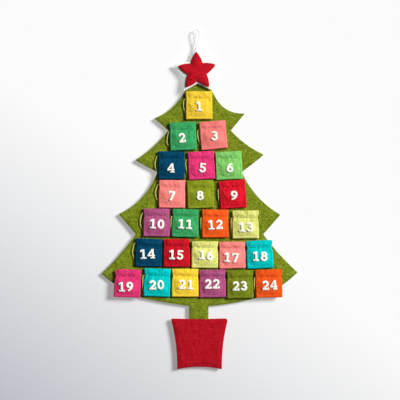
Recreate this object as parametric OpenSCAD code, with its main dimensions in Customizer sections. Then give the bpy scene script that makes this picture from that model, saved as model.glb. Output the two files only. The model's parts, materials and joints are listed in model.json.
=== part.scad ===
// Felt tree wall calendar. A stiffened felt tree carries a stuffed star and a padded pot,
// and numbered felt drawstring pouches hang on it from thread tacks.
// Millimetres. X to the right, Z up, the wall is on the +Y side and the front looks to -Y.
// The origin is the inside top of the hanging loop.

/* [Pouches] */
// Width of a pouch over its side seams
pouch_w = 74.5; // [60:0.5:95]
// Height of a pouch from its mouth to its bottom edge
pouch_h = 78; // [64:0.5:100]
// Thickness of the pouch felt
pouch_felt = 1.7; // [1:0.1:2.1]
// Width of the sewn margin round a pouch
seam_w = 5; // [4:0.5:7]
// Depth of a filled pouch at its belly
belly_depth = 11.5; // [10:0.5:18]
// Depth of a pouch at its mouth
mouth_depth = 9; // [8.5:0.1:11]
// Depth of a pouch at its drawn neck
neck_depth = 8; // [7.5:0.1:10]
// Drop from the mouth to the neck
neck_drop = 20.5; // [16:0.5:24]
// How far the neck is drawn in at each side
neck_draw = 1.5; // [0.5:0.1:3]
// Gap between the tree and a pouch, where the drawstring hangs
stand_off = 3; // [2.8:0.1:6]
// Gap added to every row's own spacing between pouches
column_extra = 0; // [0:0.5:8]
// Gap added between the rows
row_extra = 0; // [0:0.5:8]

/* [Numbers] */
// Height of a number
digit_h = 27; // [20:0.5:30]
// Thickness of the number felt
digit_felt = 1.6; // [1:0.1:2.5]
// Drop from a pouch's mouth to the middle of its number
digit_drop = 45.5; // [42:0.5:50]

/* [Tree] */
// Thickness of the tree's front and back felt
tree_felt = 2.5; // [1.5:0.1:4]
// Thickness of the stiff interlining between them
interlining_t = 1.5; // [0.8:0.1:3]
// How far the interlining stays inside the felt's edge
interlining_inset = 5; // [3:0.5:10]
// Width of the trunk
trunk_w = 54; // [40:1:70]
// Length of the trunk that shows above the pot
trunk_len = 35; // [20:1:60]
// How far the trunk is tucked into the pot
trunk_tuck = 25; // [15:1:40]

/* [Star] */
// Radius of the red star at its points
star_r = 55; // [45:1:62]
// Width of the pale border at its points
star_border = 13; // [8:0.5:18]
// Height of the stuffed star above its backing
star_crown = 13; // [8:0.5:18]
// Thickness of the star's felts
star_felt = 2; // [1.2:0.1:2.5]

/* [Pot] */
// Width of the pot at its rim
pot_rim_w = 160; // [130:1:190]
// Width of the pot at its base
pot_base_w = 125; // [100:1:150]
// Height of the pot
pot_h = 142; // [110:1:170]
// Height of the padded pot above its back panel
pot_crown = 13; // [9:0.5:18]
// Thickness of the pot felt
pot_felt = 2.5; // [1.5:0.1:3]

/* [Cords] */
// Diameter of the drawstrings
drawstring_d = 2.4; // [1.2:0.1:2.6]
// Diameter of the hanging loop's cord
loop_cord_d = 3; // [2:0.1:3.4]

/* [Hidden] */
POUCHES = 24;
TWO_DIGITS = 10;
// Number of pouches in each row, from the top
ROW_COUNT = [1, 2, 3, 3, 4, 5, 6];
// Space between pouches in a row, the row's sideways place, and the space under the row
ROW_GAP = [0, 10.3, 5.5, 9.5, 9, 3, 4.5];
ROW_SHIFT = [-1.5, -4, 2, 6, 3, 13, -3];
ROW_SPACE = [6.8, 5.2, 3.8, 3.8, 5.2, 4.6, 0];
// How each pouch hangs: its tilt in degrees, its own drop and its own shift to the right, and then its
// number's drop, shift and tilt on it
HANG = [
    [0.5, 1.5, 0, -4, -0.5, 0],
    [2.5, 3, 0, -2.4, -2.8, 6], [5, 0, 0, -4.5, 3, -5],
    [0, 1, -0.8, 1, -1.4, 2], [3, 1.5, 3, 0, 3, -8], [3, 1.5, -0.2, -0.6, 2.4, -7],
    [-0.5, -0.6, 0.8, -1.6, -1.5, -8], [2.5, 0, -3.5, -3.5, -1.2, 0], [4, 0, 2.5, -3.2, 2.8, -11],
    [-0.5, -2.6, 1.9, -3.2, 0.9, -1.5], [-1.5, -1.2, -1.2, -4.1, -0.3, -2], [0, 0.4, -1.2, -4.2, -0.3, 3],
    [0.5, 2.7, 0, 0.3, 0.9, 0],
    [-1.5, -1.8, 0, -3.3, -4.5, 4], [0.5, -1, 0.2, -1.8, -1.5, -4], [-0.5, 2, 1.5, -4, 3.3, -5],
    [1, 3.4, 0.8, 1.5, -3.6, -5], [2.5, 3, 0.2, -1.6, -0.2, -3],
    [-2.5, 1.2, -1, 2.6, -4.6, 4], [-2.3, -1, 2.6, -0.5, -1.1, 4], [0, -0.3, 2, -2.3, 2.5, -2],
    [1, 1.5, -0.6, -5.6, -1.1, 0], [1, 4.5, -2.4, -3.1, -1, 0], [2, 2, -1, -2.9, 1.3, 1]
];
YELLOW = "#f3c639";
GREEN = "#389a5c";
CORAL = "#f67e78";
NAVY = "#033f5c";
MAGENTA = "#d7356e";
LEAF = "#76b75f";
OLIVE = "#7a861d";
RED = "#bd1424";
PLUM = "#9e4b73";
ORANGE = "#ee561b";
LIME = "#d1d373";
TURQUOISE = "#02b7b4";
POUCH_COLOURS = [
    YELLOW, GREEN, CORAL, NAVY, MAGENTA, LEAF, CORAL, OLIVE, RED, PLUM, GREEN, ORANGE,
    LIME, NAVY, RED, LIME, CORAL, TURQUOISE, MAGENTA, TURQUOISE, YELLOW, PLUM, OLIVE, ORANGE
];
CREAM = "#f4f1e6";
TREE_GREEN = "#73811e";
CORD_GREEN = "#cdcf74";
WADDING = "#e9e7e0";

// Layers from the wall to the front, all behind or ahead of the hanging loop's middle plane
FRONT_Y = -loop_cord_d / 2;
INTERLINING_Y = FRONT_Y + tree_felt;
BACK_Y = INTERLINING_Y + interlining_t;
WALL_Y = BACK_Y + tree_felt;
POUCH_Y = FRONT_Y - stand_off;
TACK_Y = FRONT_Y - stand_off / 2;
TACK_CLEARANCE = 0.1;
TACK_L = 16;
TACK_R = stand_off / 2 - TACK_CLEARANCE;
TACK_DROP = 1.5;
GLUE_GAP = 0.1;
EPS = 0.01;

// The star hangs from the loop, and the rows of pouches start under its lower points
STAR_TIP_Z = -48.3;
STAR_AT = [1.5, STAR_TIP_Z - star_r - star_border];
STAR_STEP = 180 / 5;
STAR_GAP = 0.2;
FIRST_MOUTH_Z = STAR_AT[1] - (star_r + star_border) * cos(STAR_STEP) - STAR_GAP;
TREE_SHIFT = 8.5;
function total(list, n) = n <= 0 ? 0 : list[n - 1] + total(list, n - 1);
function row_of(i, r = 0) = i < total(ROW_COUNT, r + 1) ? r : row_of(i, r + 1);
function row_z(r) = FIRST_MOUTH_Z - (r + 0.5) * pouch_h - total(ROW_SPACE, r) - r * row_extra;
function row_pitch(r) = pouch_w + ROW_GAP[r] + column_extra;
function row_half(r) = (ROW_COUNT[r] * row_pitch(r) - ROW_GAP[r] - column_extra) / 2;
function place_in_row(i) = i - total(ROW_COUNT, row_of(i));
function pouch_x(i) = TREE_SHIFT + ROW_SHIFT[row_of(i)] + HANG[i][2]
    + (place_in_row(i) - (ROW_COUNT[row_of(i)] - 1) / 2) * row_pitch(row_of(i));
function pouch_z(i) = row_z(row_of(i)) - HANG[i][1];

// Outlines are lists of [x, z] points, anticlockwise as seen from the front
function unit(v) = v / norm(v);
function left_of(v) = [-v[1], v[0]];
function bow(a, b, rise, n) = [
    for (k = [0 : n - 1]) let (t = k / n)
        a + t * (b - a) + unit(left_of(b - a)) * 4 * rise * t * (1 - t)
];
function backwards(list) = [for (k = [len(list) - 1 : -1 : 0]) list[k]];
function flat_join(lists) = [for (list = lists) for (p = list) p];
function inset_point(p, q, r, d) = let (m = left_of(unit(q - p)), n = left_of(unit(r - q)))
    q + d * (m + n) / (1 + m * n);
function inset(outline, d) = let (n = len(outline))
    [for (k = [0 : n - 1]) inset_point(outline[(k + n - 1) % n], outline[k], outline[(k + 1) % n], d)];

// The tree's corners down one side, a shoulder, branch tips and notches in turn, and the hem: the row
// it stands beyond and by how much, the row it is level with and its height over that row's middle,
// and its rise to the right
BRANCHES = [
    [0, 5.2, 0, 32, -6],
    [1, 47, 0, -30, 6.5],
    [1, 8, 1, 14, 0],
    [3, 59, 2, 22, 7.5],
    [2, 1, 2, -19, 0],
    [4, 64, 3, -56, -1],
    [4, 16, 4, -30, 0],
    [6, 40, 5, -55, 2],
    [6, -75, 6, -42.5, 0]
];
BOW_STEPS = 10;
APEX_RISE = 14;
HEM_DROP = 65;
APEX_Z = STAR_AT[1] + APEX_RISE;
BASE_Z = row_z(len(ROW_COUNT) - 1) - HEM_DROP;
POT_TOP_Z = BASE_Z - trunk_len;
TRUNK_SHIFT = -2;
function side_corners(s) = concat(
    [[0, APEX_Z]],
    [for (b = BRANCHES) [s * (row_half(b[0]) + b[1]), row_z(b[2]) + b[3] + s * b[4]]],
    [[TRUNK_SHIFT + s * trunk_w / 2, BASE_Z]]
);
// How far each edge is drawn in between its corners, from the apex down each side
LEFT_DRAWS = [0, 11, 0, 6, -1, 17, 0, 4, -7, -1.5];
RIGHT_DRAWS = [0, 15.5, 0, 6, -1, 13, 0, 4, -8, -3];
TREE_DRAWS = concat(LEFT_DRAWS, [0, 0, 0], backwards(RIGHT_DRAWS));
function tree_corners(trunk_end) = let (left = side_corners(-1), right = side_corners(1)) concat(
    left,
    [for (s = [-1, 1]) [TRUNK_SHIFT + s * trunk_w / 2, trunk_end]],
    [for (k = [len(right) - 1 : -1 : 1]) right[k]]
);
function drawn(corners, draws, steps) = let (n = len(corners)) flat_join([
    for (k = [0 : n - 1]) bow(corners[k], corners[(k + 1) % n], draws[k], draws[k] == 0 ? 1 : steps)
]);
function tree_outline(trunk_end, margin = 0) = shifted(
    drawn(inset(tree_corners(trunk_end), margin), TREE_DRAWS, BOW_STEPS),
    [TREE_SHIFT, 0]
);
function shifted(outline, by) = [for (p = outline) p + by];

// Star: points and notches, with arms that bow out
STAR_TURN = 2;
STAR_NOTCH = 0.505;
STAR_BOW = 2.4;
STAR_STEPS = 5;
function star_corner(k, r) = let (a = 90 + STAR_TURN + STAR_STEP * k, d = k % 2 == 0 ? r : r * STAR_NOTCH)
    STAR_AT + d * [cos(a), sin(a)];
function star_outline(r, rise) = flat_join([
    for (k = [0 : 9]) bow(star_corner(k, r), star_corner(k + 1, r), -rise, STAR_STEPS)
]);

// Pot: a flared outline with drawn-in sides and base
POT_SIDE_DRAW = 5;
POT_BASE_DRAW = 5;
POT_RIM_DRAW = 1;
POT_STEPS = 8;
POT_BOTTOM_Z = POT_TOP_Z - pot_h;
POT_MIDDLE = [TREE_SHIFT, (POT_TOP_Z + POT_BOTTOM_Z) / 2];
POT_OUTLINE = let (
    rim = pot_rim_w / 2,
    base = pot_base_w / 2,
    corners = [[-rim, POT_TOP_Z], [-base, POT_BOTTOM_Z], [base, POT_BOTTOM_Z], [rim, POT_TOP_Z]],
    draws = [POT_SIDE_DRAW, POT_BASE_DRAW, POT_SIDE_DRAW, POT_RIM_DRAW]
) shifted(drawn(corners, draws, POT_STEPS), [TREE_SHIFT, 0]);

// Drawstring routes, from where the string leaves the left seam at the neck: [x, y, z].
// Every route swings out beside the pouch, then passes behind it at ROUTE_DEPTH and ends in the
// pouch's back panel.
ROUTE_DEPTH = 3;
STRING_CLEARANCE = 0.3;
ROUTE_TAIL = [
    [11.7, 3, -41], [12, 3, -35], [12, 3, -29], [12, 3, -23], [12, 3, -17], [12, 2.8, -12],
    [12, 1.8, -7.5], [12, 0.5, -4]
];
ROUTE_HIGH = [
    [4, 0, 0], [3.6, 0, 3.5], [2.4, 0, 6.8], [0.4, 0, 9], [-2.2, 0, 9.4], [-4.6, 0, 6.6],
    [-6.4, 0, 2.6], [-7.8, 0, -2], [-9, 0, -7.5], [-9.8, 0, -13.5], [-9.7, 0.3, -19.5],
    [-8.8, 0.9, -26], [-7.2, 1.8, -31.5], [-5.2, 2.6, -36], [-2.8, 3, -40], [0.5, 3, -43.6],
    [4.5, 3, -45.8], [10, 3, -45]
];
ROUTE_LOW = [
    [4, 0, 0], [1, 0, -0.3], [-2, 0, -1.5], [-4.2, 0, -4.5], [-5.6, 0, -9], [-6.8, 0, -14],
    [-7.8, 0, -19], [-8.8, 0, -24], [-9.6, 0.2, -29], [-9.6, 0.8, -34], [-8.4, 1.8, -38.5],
    [-6, 2.6, -42.5], [-2.8, 3, -45.5], [1.5, 3, -47.3], [6.5, 3, -47.5], [10, 3, -45]
];
ROUTE_MID = [
    [4, 0, 0], [1, 0, 0.6], [-2.2, 0, 0.6], [-5, 0, -0.6], [-6.8, 0, -3.6], [-7.4, 0, -8.5],
    [-7.6, 0, -14], [-7.4, 0, -19.5], [-6.9, 0.2, -25], [-6.1, 0.8, -30.5], [-5, 1.8, -35.5],
    [-3.6, 2.6, -39.5], [-1.2, 3, -43], [2.5, 3, -45.8], [6.5, 3, -46.6], [10, 3, -45]
];
ROUTE_SLIM = [
    [4, 0, 0], [1.4, 0, 0.2], [-1.2, -0.4, 0.2], [-3, -1, -1.4], [-4, -1.6, -5], [-4.3, -1.8, -10],
    [-4.3, -1.8, -15], [-4.3, -1.6, -20], [-4.3, -1, -25], [-4.4, 0, -30], [-4.2, 1.2, -35],
    [-3.6, 2.4, -39], [-2.4, 3, -42.2], [0, 3, -44.8], [3.5, 3, -46.6], [7, 3, -47], [10.5, 3, -45]
];
ROUTE_TIGHT = [
    [4, 0, 0], [1.5, 0, -0.5], [-0.3, 0.4, -3], [-1.2, 1.4, -7], [-1.8, 2.4, -12], [-2, 3, -17],
    [-2, 3, -22], [-2, 3, -27], [-1.8, 3, -32], [-1, 3, -37], [1, 3, -42], [4, 3, -46],
    [7.5, 3, -47], [10.5, 3, -45]
];
// The pouches whose drawstring hangs in sight, each with its route
STRINGS = [
    [1, ROUTE_MID], [2, ROUTE_LOW], [3, ROUTE_MID], [4, ROUTE_HIGH], [5, ROUTE_MID],
    [7, ROUTE_HIGH], [9, ROUTE_SLIM], [10, ROUTE_HIGH], [11, ROUTE_SLIM], [12, ROUTE_SLIM],
    [13, ROUTE_SLIM], [14, ROUTE_HIGH], [16, ROUTE_TIGHT], [20, ROUTE_SLIM], [23, ROUTE_TIGHT],
    [24, ROUTE_SLIM]
];
// The hanging loop, up one leg and down the other
LOOP_ROUTE = [
    [-3, 0, -76], [-3, 0, -68], [-3, 0, -60], [-2.5, 0, -52], [-2.5, 0, -45], [-3, 0, -38],
    [-4, 0, -31], [-5.5, 0, -24], [-7, 0, -17], [-8, 0, -10], [-7, 0, -4], [-4, 0, 0.2], [0, 0, 1.5],
    [4, 0, 0.2], [7, 0, -4], [8, 0, -10], [7, 0, -17], [5.5, 0, -24], [4, 0, -31], [3, 0, -38],
    [2.5, 0, -45], [2.5, 0, -52], [3, 0, -60], [3, 0, -68], [3, 0, -76]
];
CORD_SIDES = 8;

function two_figures(n) = n < TWO_DIGITS ? str("0", n) : str(n);

// A felt panel of an outline, from its back face forward
module panel(outline, back_y, thickness) {
    translate([0, back_y, 0])
        rotate([90, 0, 0])
            linear_extrude(thickness)
                polygon(outline);
}

// Stuffed forms: rings of an outline that shrink to its middle as they rise
RINGS = [1, 0.97, 0.91, 0.82, 0.7, 0.54, 0.34, 0.16];
function dome_points(outline, middle, base_y, crown, fullness) = concat(
    [
        for (s = RINGS) let (y = base_y - crown * sqrt(1 - pow(s, fullness)))
            for (p = outline) let (q = middle + s * (p - middle)) [q[0], y, q[1]]
    ],
    [[middle[0], base_y - crown, middle[1]]]
);
function dome_faces(n, first) = let (top = first + n * len(RINGS)) concat(
    [
        for (r = [0 : len(RINGS) - 2]) for (k = [0 : n - 1])
            let (a = first + r * n + k, b = first + r * n + (k + 1) % n)
                each [[a, a + n, b + n], [a, b + n, b]]
    ],
    [for (k = [0 : n - 1]) [top - n + k, top, top - n + (k + 1) % n]]
);
function turned(faces) = [for (f = faces) backwards(f)];

module stuffing(outline, middle, base_y, crown, fullness) {
    n = len(outline);
    base = n * len(RINGS) + 1;
    polyhedron(
        concat(dome_points(outline, middle, base_y, crown, fullness), [[middle[0], base_y, middle[1]]]),
        concat(dome_faces(n, 0), [for (k = [0 : n - 1]) [base, k, (k + 1) % n]])
    );
}

module stuffed_skin(outline, lining, middle, base_y, crown, skin, fullness) {
    n = len(outline);
    first = n * len(RINGS) + 1;
    polyhedron(
        concat(
            dome_points(outline, middle, base_y, crown, fullness),
            dome_points(lining, middle, base_y, crown - skin, fullness)
        ),
        concat(
            dome_faces(n, 0),
            turned(dome_faces(n, first)),
            [
                for (k = [0 : n - 1]) let (j = (k + 1) % n)
                    each [[k, j, first + j], [k, first + j, first + k]]
            ]
        )
    );
}

// A cord swept along its route
function along(route, k) = unit(route[min(k + 1, len(route) - 1)] - route[max(k - 1, 0)]);
module cord(route, diameter) {
    last = len(route) - 1;
    rings = [
        for (k = [0 : last]) let (t = along(route, k), u = unit(cross([0, 1, 0], t)), v = cross(t, u))
            for (j = [0 : CORD_SIDES - 1]) let (a = 360 * (j + 0.5) / CORD_SIDES)
                route[k] + diameter / 2 * (cos(a) * u + sin(a) * v)
    ];
    walls = [
        for (k = [0 : last - 1]) for (j = [0 : CORD_SIDES - 1])
            let (a = k * CORD_SIDES + j, b = k * CORD_SIDES + (j + 1) % CORD_SIDES)
                each [[a, b + CORD_SIDES, b], [a, a + CORD_SIDES, b + CORD_SIDES]]
    ];
    start = [for (j = [1 : CORD_SIDES - 2]) [0, j, j + 1]];
    end = [for (f = start) [for (p = backwards(f)) p + last * CORD_SIDES]];
    polyhedron(rings, concat(walls, start, end));
}

// Numbers: bold figures with slab feet, drawn about their middle in units of a 27th of their height
STROKE = 6.8;
CROSS_STROKE = 5.8;
OVAL_STEPS = 24;
function oval(x, z, rx, rz, from, to, n = OVAL_STEPS) = [
    for (k = [0 : n]) let (a = from + (to - from) * k / n) [x + rx * cos(a), z + rz * sin(a)]
];
function band(x, z, rx, rz, from, to) = concat(
    oval(x, z, rx, rz, from, to),
    backwards(oval(x, z, rx - STROKE, rz - CROSS_STROKE, from, to))
);
module bar(x0, z0, x1, z1) {
    translate([x0, z0])
        square([x1 - x0, z1 - z0]);
}
module ring(x, z, rx, rz) {
    last = 360 - 360 / OVAL_STEPS;
    difference() {
        polygon(oval(x, z, rx, rz, 0, last, OVAL_STEPS - 1));
        polygon(oval(x, z, rx - STROKE, rz - CROSS_STROKE, 0, last, OVAL_STEPS - 1));
    }
}
module figure_0() {
    ring(0, 0, 10, 13.5);
}
module figure_1() {
    bar(-2.5, -13.5, 4, 13.5);
    bar(-8, -13.5, 9, -8.7);
    polygon([[-2, 13.5], [-8.5, 10], [-8.5, 5.2], [-2, 7.2]]);
}
module figure_2() {
    polygon(band(0, 4.6, 9.6, 8.9, -40, 178));
    polygon([[7.4, -1], [-0.5, -9], [-9.8, -9], [2.4, 2.4]]);
    bar(-9.8, -13.5, 9.8, -8.4);
    bar(5.6, -13.5, 9.8, -5.4);
}
module figure_3() {
    polygon(band(-0.6, 6.2, 9, 7.3, -90, 172));
    polygon(band(-0.4, -5.2, 9.8, 8.3, -176, 90));
    bar(-3.4, -2, 0.5, 2.6);
}
module figure_4() {
    difference() {
        polygon([
            [7.6, 13.5], [1.6, 13.5], [-10.4, -2.6], [-10.4, -7], [10.4, -7], [10.4, -2.4], [7.6, -2.4]
        ]);
        polygon([[1.2, 5], [1.2, -2.4], [-4.2, -2.4]]);
    }
    bar(1.2, -13, 7.6, -6);
    bar(-2.6, -13.5, 10.4, -9.6);
}
module figure_5() {
    bar(-7.6, 8.4, 8.6, 13.5);
    bar(-7.6, -0.6, -2.2, 13);
    polygon(band(-0.4, -4.2, 9.8, 9.3, -170, 128));
}
module figure_6() {
    ring(0, -4.6, 9.9, 8.9);
    polygon(concat(oval(6, -4.6, 15.9, 18.1, 92, 180), backwards(oval(6, -4.6, 9.4, 12.8, 92, 180))));
}
module figure_7() {
    bar(-9.4, 8.3, 9.4, 13.5);
    bar(-9.4, 4.6, -5.2, 13);
    polygon([[9.4, 9], [2.4, -13.5], [-5.2, -13.5], [2.2, 8.6]]);
}
module figure_8() {
    ring(0, 6.1, 9, 7.4);
    ring(0, -5.1, 10, 8.4);
}
module figure_9() {
    rotate(180)
        figure_6();
}
module figure(n) {
    if (n == 0) figure_0();
    if (n == 1) figure_1();
    if (n == 2) figure_2();
    if (n == 3) figure_3();
    if (n == 4) figure_4();
    if (n == 5) figure_5();
    if (n == 6) figure_6();
    if (n == 7) figure_7();
    if (n == 8) figure_8();
    if (n == 9) figure_9();
}
FIGURE_UNITS = 27;
FIGURE_PITCH = 22.5;
module felt_figure(n, x) {
    translate([x, -belly_depth - GLUE_GAP, 0])
        rotate([90, 0, 0])
            linear_extrude(digit_felt)
                scale(digit_h / FIGURE_UNITS)
                    figure(n);
}
module number(n) {
    pitch = FIGURE_PITCH * digit_h / FIGURE_UNITS;
    if (n < TWO_DIGITS) {
        felt_figure(n, 0);
    } else {
        felt_figure(floor(n / TWO_DIGITS), -pitch / 2);
        felt_figure(n % TWO_DIGITS, pitch / 2);
    }
}

// One pouch about the middle of its mouth, with its back at y = 0: outer and inner faces of the
// bag are the same three views, drawn a felt's thickness apart
// The sewn margin holds the front, the back and their turned-in edges
SEAM_LAYERS = 4;
SEAM_T = SEAM_LAYERS * pouch_felt;
BELLY_RUN_IN = 8.5;
BELLY_RUN_OUT = 16;
BELLY_TOP = neck_drop + BELLY_RUN_IN;
BELLY_BOTTOM = pouch_h - BELLY_RUN_OUT;
SIDE_SLOPE = 14;
SEAM_SLIT = 0.4;
NECK_SPAN = 17;
module from_the_side(profile) {
    rotate([90, 0, -90])
        linear_extrude(2 * pouch_w, center = true)
            polygon(profile);
}
module from_the_top(section) {
    translate([0, 0, -pouch_h - EPS])
        linear_extrude(2 * pouch_h)
            polygon(section);
}
BAG_FRONT = [
    [-pouch_w / 2, 0], [-pouch_w / 2 + neck_draw, -neck_drop], [-pouch_w / 2, -neck_drop - NECK_SPAN],
    [-pouch_w / 2, -pouch_h], [pouch_w / 2, -pouch_h], [pouch_w / 2, -neck_drop - NECK_SPAN],
    [pouch_w / 2 - neck_draw, -neck_drop], [pouch_w / 2, 0]
];
module bag_outside() {
    intersection() {
        from_the_side([
            [0, 0], [0, -pouch_h], [SEAM_T, -pouch_h], [SEAM_T, seam_w - pouch_h],
            [belly_depth, -BELLY_BOTTOM], [belly_depth, -BELLY_TOP], [neck_depth, -neck_drop],
            [mouth_depth, 0]
        ]);
        from_the_top([
            for (s = [-1, 1]) each (s < 0 ? backwards(half_section(s, 0, SEAM_T, belly_depth))
                : half_section(s, 0, SEAM_T, belly_depth))
        ]);
        panel(BAG_FRONT, 0, 2 * belly_depth);
    }
}
function half_section(s, back, seam, front) = [
    [s * (pouch_w / 2 - seam_w - SIDE_SLOPE), -front],
    [s * (pouch_w / 2 - seam_w), -seam],
    [s * pouch_w / 2, -seam],
    [s * pouch_w / 2, -back]
];
module bag_inside() {
    seam = pouch_w / 2 - seam_w;
    intersection() {
        from_the_side([
            [pouch_felt, EPS], [pouch_felt, seam_w - pouch_h], [pouch_felt + SEAM_SLIT, seam_w - pouch_h],
            [belly_depth - pouch_felt, -BELLY_BOTTOM], [belly_depth - pouch_felt, -BELLY_TOP],
            [neck_depth - pouch_felt, -neck_drop], [mouth_depth - pouch_felt, EPS]
        ]);
        from_the_top([
            [-seam, -pouch_felt], [-seam, -pouch_felt - SEAM_SLIT],
            [-seam + SIDE_SLOPE, pouch_felt - belly_depth], [seam - SIDE_SLOPE, pouch_felt - belly_depth],
            [seam, -pouch_felt - SEAM_SLIT], [seam, -pouch_felt]
        ]);
    }
}
module hung(i) {
    translate([pouch_x(i), POUCH_Y, pouch_z(i)])
        rotate([0, -HANG[i][0], 0])
            translate([0, 0, pouch_h / 2])
                children();
}
module pouch(i) {
    color(POUCH_COLOURS[i])
        hung(i)
            difference() {
                bag_outside();
                bag_inside();
            }
    color(CREAM)
        hung(i)
            translate([HANG[i][4], 0, -digit_drop - HANG[i][3]])
                rotate([0, -HANG[i][5], 0])
                    number(i + 1);
}
module drawstring(i, route) {
    exit = [-pouch_w / 2 + neck_draw, drawstring_d / 2 + STRING_CLEARANCE - ROUTE_DEPTH, -neck_drop];
    color(CORD_GREEN)
        hung(i)
            cord([for (p = concat(route, ROUTE_TAIL)) exit + p], drawstring_d);
}

module tree_front() {
    color(TREE_GREEN)
        panel(tree_outline(POT_TOP_Z - trunk_tuck), INTERLINING_Y, tree_felt);
}
module tree_interlining() {
    color(WADDING)
        panel(tree_outline(POT_TOP_Z, interlining_inset), BACK_Y, interlining_t);
}
module tree_back() {
    color(TREE_GREEN)
        panel(tree_outline(POT_TOP_Z), WALL_Y, tree_felt);
}

STAR_FULLNESS = 1.8;
STAR_BASE_Y = FRONT_Y - star_felt;
module star_front() {
    outline = star_outline(star_r, STAR_BOW);
    color(RED)
        stuffed_skin(
            outline, inset(outline, star_felt), STAR_AT, STAR_BASE_Y, star_crown, star_felt, STAR_FULLNESS
        );
}
module star_wadding() {
    color(WADDING)
        stuffing(
            inset(star_outline(star_r, STAR_BOW), star_felt), STAR_AT, STAR_BASE_Y,
            star_crown - star_felt, STAR_FULLNESS
        );
}
module star_backing() {
    color(CREAM)
        panel(star_outline(star_r + star_border, 0), FRONT_Y, star_felt);
}

POT_FULLNESS = 5;
POT_BASE_Y = INTERLINING_Y;
TUCK_CLEARANCE = 0.1;
// The pocket that the trunk's end fills between the pot's panels
module tuck_pocket() {
    translate([
        TREE_SHIFT + TRUNK_SHIFT - trunk_w / 2 - TUCK_CLEARANCE, FRONT_Y - TUCK_CLEARANCE,
        POT_TOP_Z - trunk_tuck - TUCK_CLEARANCE
    ])
        cube([trunk_w + 2 * TUCK_CLEARANCE, tree_felt + 2 * TUCK_CLEARANCE, 2 * trunk_tuck]);
}
module pot_front() {
    color(RED)
        difference() {
            stuffed_skin(
                POT_OUTLINE, inset(POT_OUTLINE, pot_felt), POT_MIDDLE, POT_BASE_Y, pot_crown, pot_felt,
                POT_FULLNESS
            );
            tuck_pocket();
        }
}
module pot_wadding() {
    color(WADDING)
        difference() {
            stuffing(
                inset(POT_OUTLINE, pot_felt), POT_MIDDLE, POT_BASE_Y, pot_crown - pot_felt, POT_FULLNESS
            );
            tuck_pocket();
        }
}
module pot_back() {
    color(RED)
        panel(POT_OUTLINE, POT_BASE_Y + pot_felt, pot_felt);
}

module hanging_loop() {
    color(CREAM)
        cord(LOOP_ROUTE, loop_cord_d);
}

// A bar of thread along each pouch's top edge, sewn down to the tree
module pouch_tacks() {
    color(CREAM)
        for (i = [0 : POUCHES - 1])
            hung(i)
                translate([-TACK_L / 2, TACK_Y - POUCH_Y, -TACK_DROP]) {
                    rotate([0, 90, 0])
                        cylinder(h = TACK_L, r = TACK_R, $fn = 24);
                    translate([0, 0, -TACK_R / 2])
                        cube([TACK_L, stand_off / 2, TACK_R]);
                }
}

tree_front();
tree_interlining();
tree_back();
star_front();
star_wadding();
star_backing();
pot_front();
pot_wadding();
pot_back();
hanging_loop();
pouch_tacks();
for (i = [0 : POUCHES - 1])
    pouch(i);
for (s = STRINGS)
    drawstring(s[0] - 1, s[1]);
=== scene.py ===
"""Looks of a felt tree wall calendar: felt panels, a stuffed star, a padded pot, sewn pouches and cords."""
import json
import math

import bmesh
import bpy
import numpy as np
from mathutils import Matrix, Vector, noise
from mathutils.bvhtree import BVHTree
from mathutils.geometry import delaunay_2d_cdt

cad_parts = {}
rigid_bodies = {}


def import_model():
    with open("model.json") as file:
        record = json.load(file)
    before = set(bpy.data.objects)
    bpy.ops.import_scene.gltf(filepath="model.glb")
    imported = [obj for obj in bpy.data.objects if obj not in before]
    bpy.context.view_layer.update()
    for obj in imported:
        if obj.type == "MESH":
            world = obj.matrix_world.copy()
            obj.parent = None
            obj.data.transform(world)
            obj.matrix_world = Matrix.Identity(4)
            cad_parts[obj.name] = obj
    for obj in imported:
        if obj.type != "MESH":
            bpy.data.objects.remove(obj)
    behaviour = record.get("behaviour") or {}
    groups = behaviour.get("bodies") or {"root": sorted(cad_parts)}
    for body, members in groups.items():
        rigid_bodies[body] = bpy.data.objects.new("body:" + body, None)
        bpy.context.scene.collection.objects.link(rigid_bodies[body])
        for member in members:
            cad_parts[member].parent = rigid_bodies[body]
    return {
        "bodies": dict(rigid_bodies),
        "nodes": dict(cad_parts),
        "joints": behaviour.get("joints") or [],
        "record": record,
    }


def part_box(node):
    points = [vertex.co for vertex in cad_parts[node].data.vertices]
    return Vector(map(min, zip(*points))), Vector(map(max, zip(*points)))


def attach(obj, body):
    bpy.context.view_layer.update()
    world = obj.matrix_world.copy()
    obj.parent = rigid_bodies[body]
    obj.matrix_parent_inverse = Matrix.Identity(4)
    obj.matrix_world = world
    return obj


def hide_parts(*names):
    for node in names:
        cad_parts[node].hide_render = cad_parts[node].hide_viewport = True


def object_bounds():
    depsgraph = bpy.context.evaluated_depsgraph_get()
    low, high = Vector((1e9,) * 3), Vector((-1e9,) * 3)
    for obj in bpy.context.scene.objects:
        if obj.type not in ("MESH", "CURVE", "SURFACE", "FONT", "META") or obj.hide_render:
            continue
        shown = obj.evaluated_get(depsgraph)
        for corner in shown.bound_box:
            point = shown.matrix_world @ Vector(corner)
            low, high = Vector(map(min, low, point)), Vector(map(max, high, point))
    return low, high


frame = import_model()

bl_info = {
    "name": "Felt Tree Calendar",
    "version": (1, 0, 0),
    "blender": (4, 5, 0),
    "location": "3D View > Sidebar > Calendar",
    "description": "Makes the felt, stuffing, stitches and cords of a wall calendar around its frame",
    "category": "Object",
}

# Lengths in this file are in millimetres, and become metres where a mesh is made
MM = 0.001
CAD_BOX = [list(corner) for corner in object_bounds()]
SLOT_COLOURS = {m["slot"]: m["base_color"][:3] for m in frame["record"]["materials"]}
NODE_SLOTS = {s["node"]: s["material_slot"] for s in frame["record"]["subparts"]}
POUCHES = sorted(name for name in frame["bodies"] if name.startswith("pouch_"))


# Settings

def colour(slot, about):
    return bpy.props.FloatVectorProperty(
        name=slot.replace("_", " ").capitalize(), description=about, default=SLOT_COLOURS[slot],
        size=3, min=0, max=1, subtype="COLOR")


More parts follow.
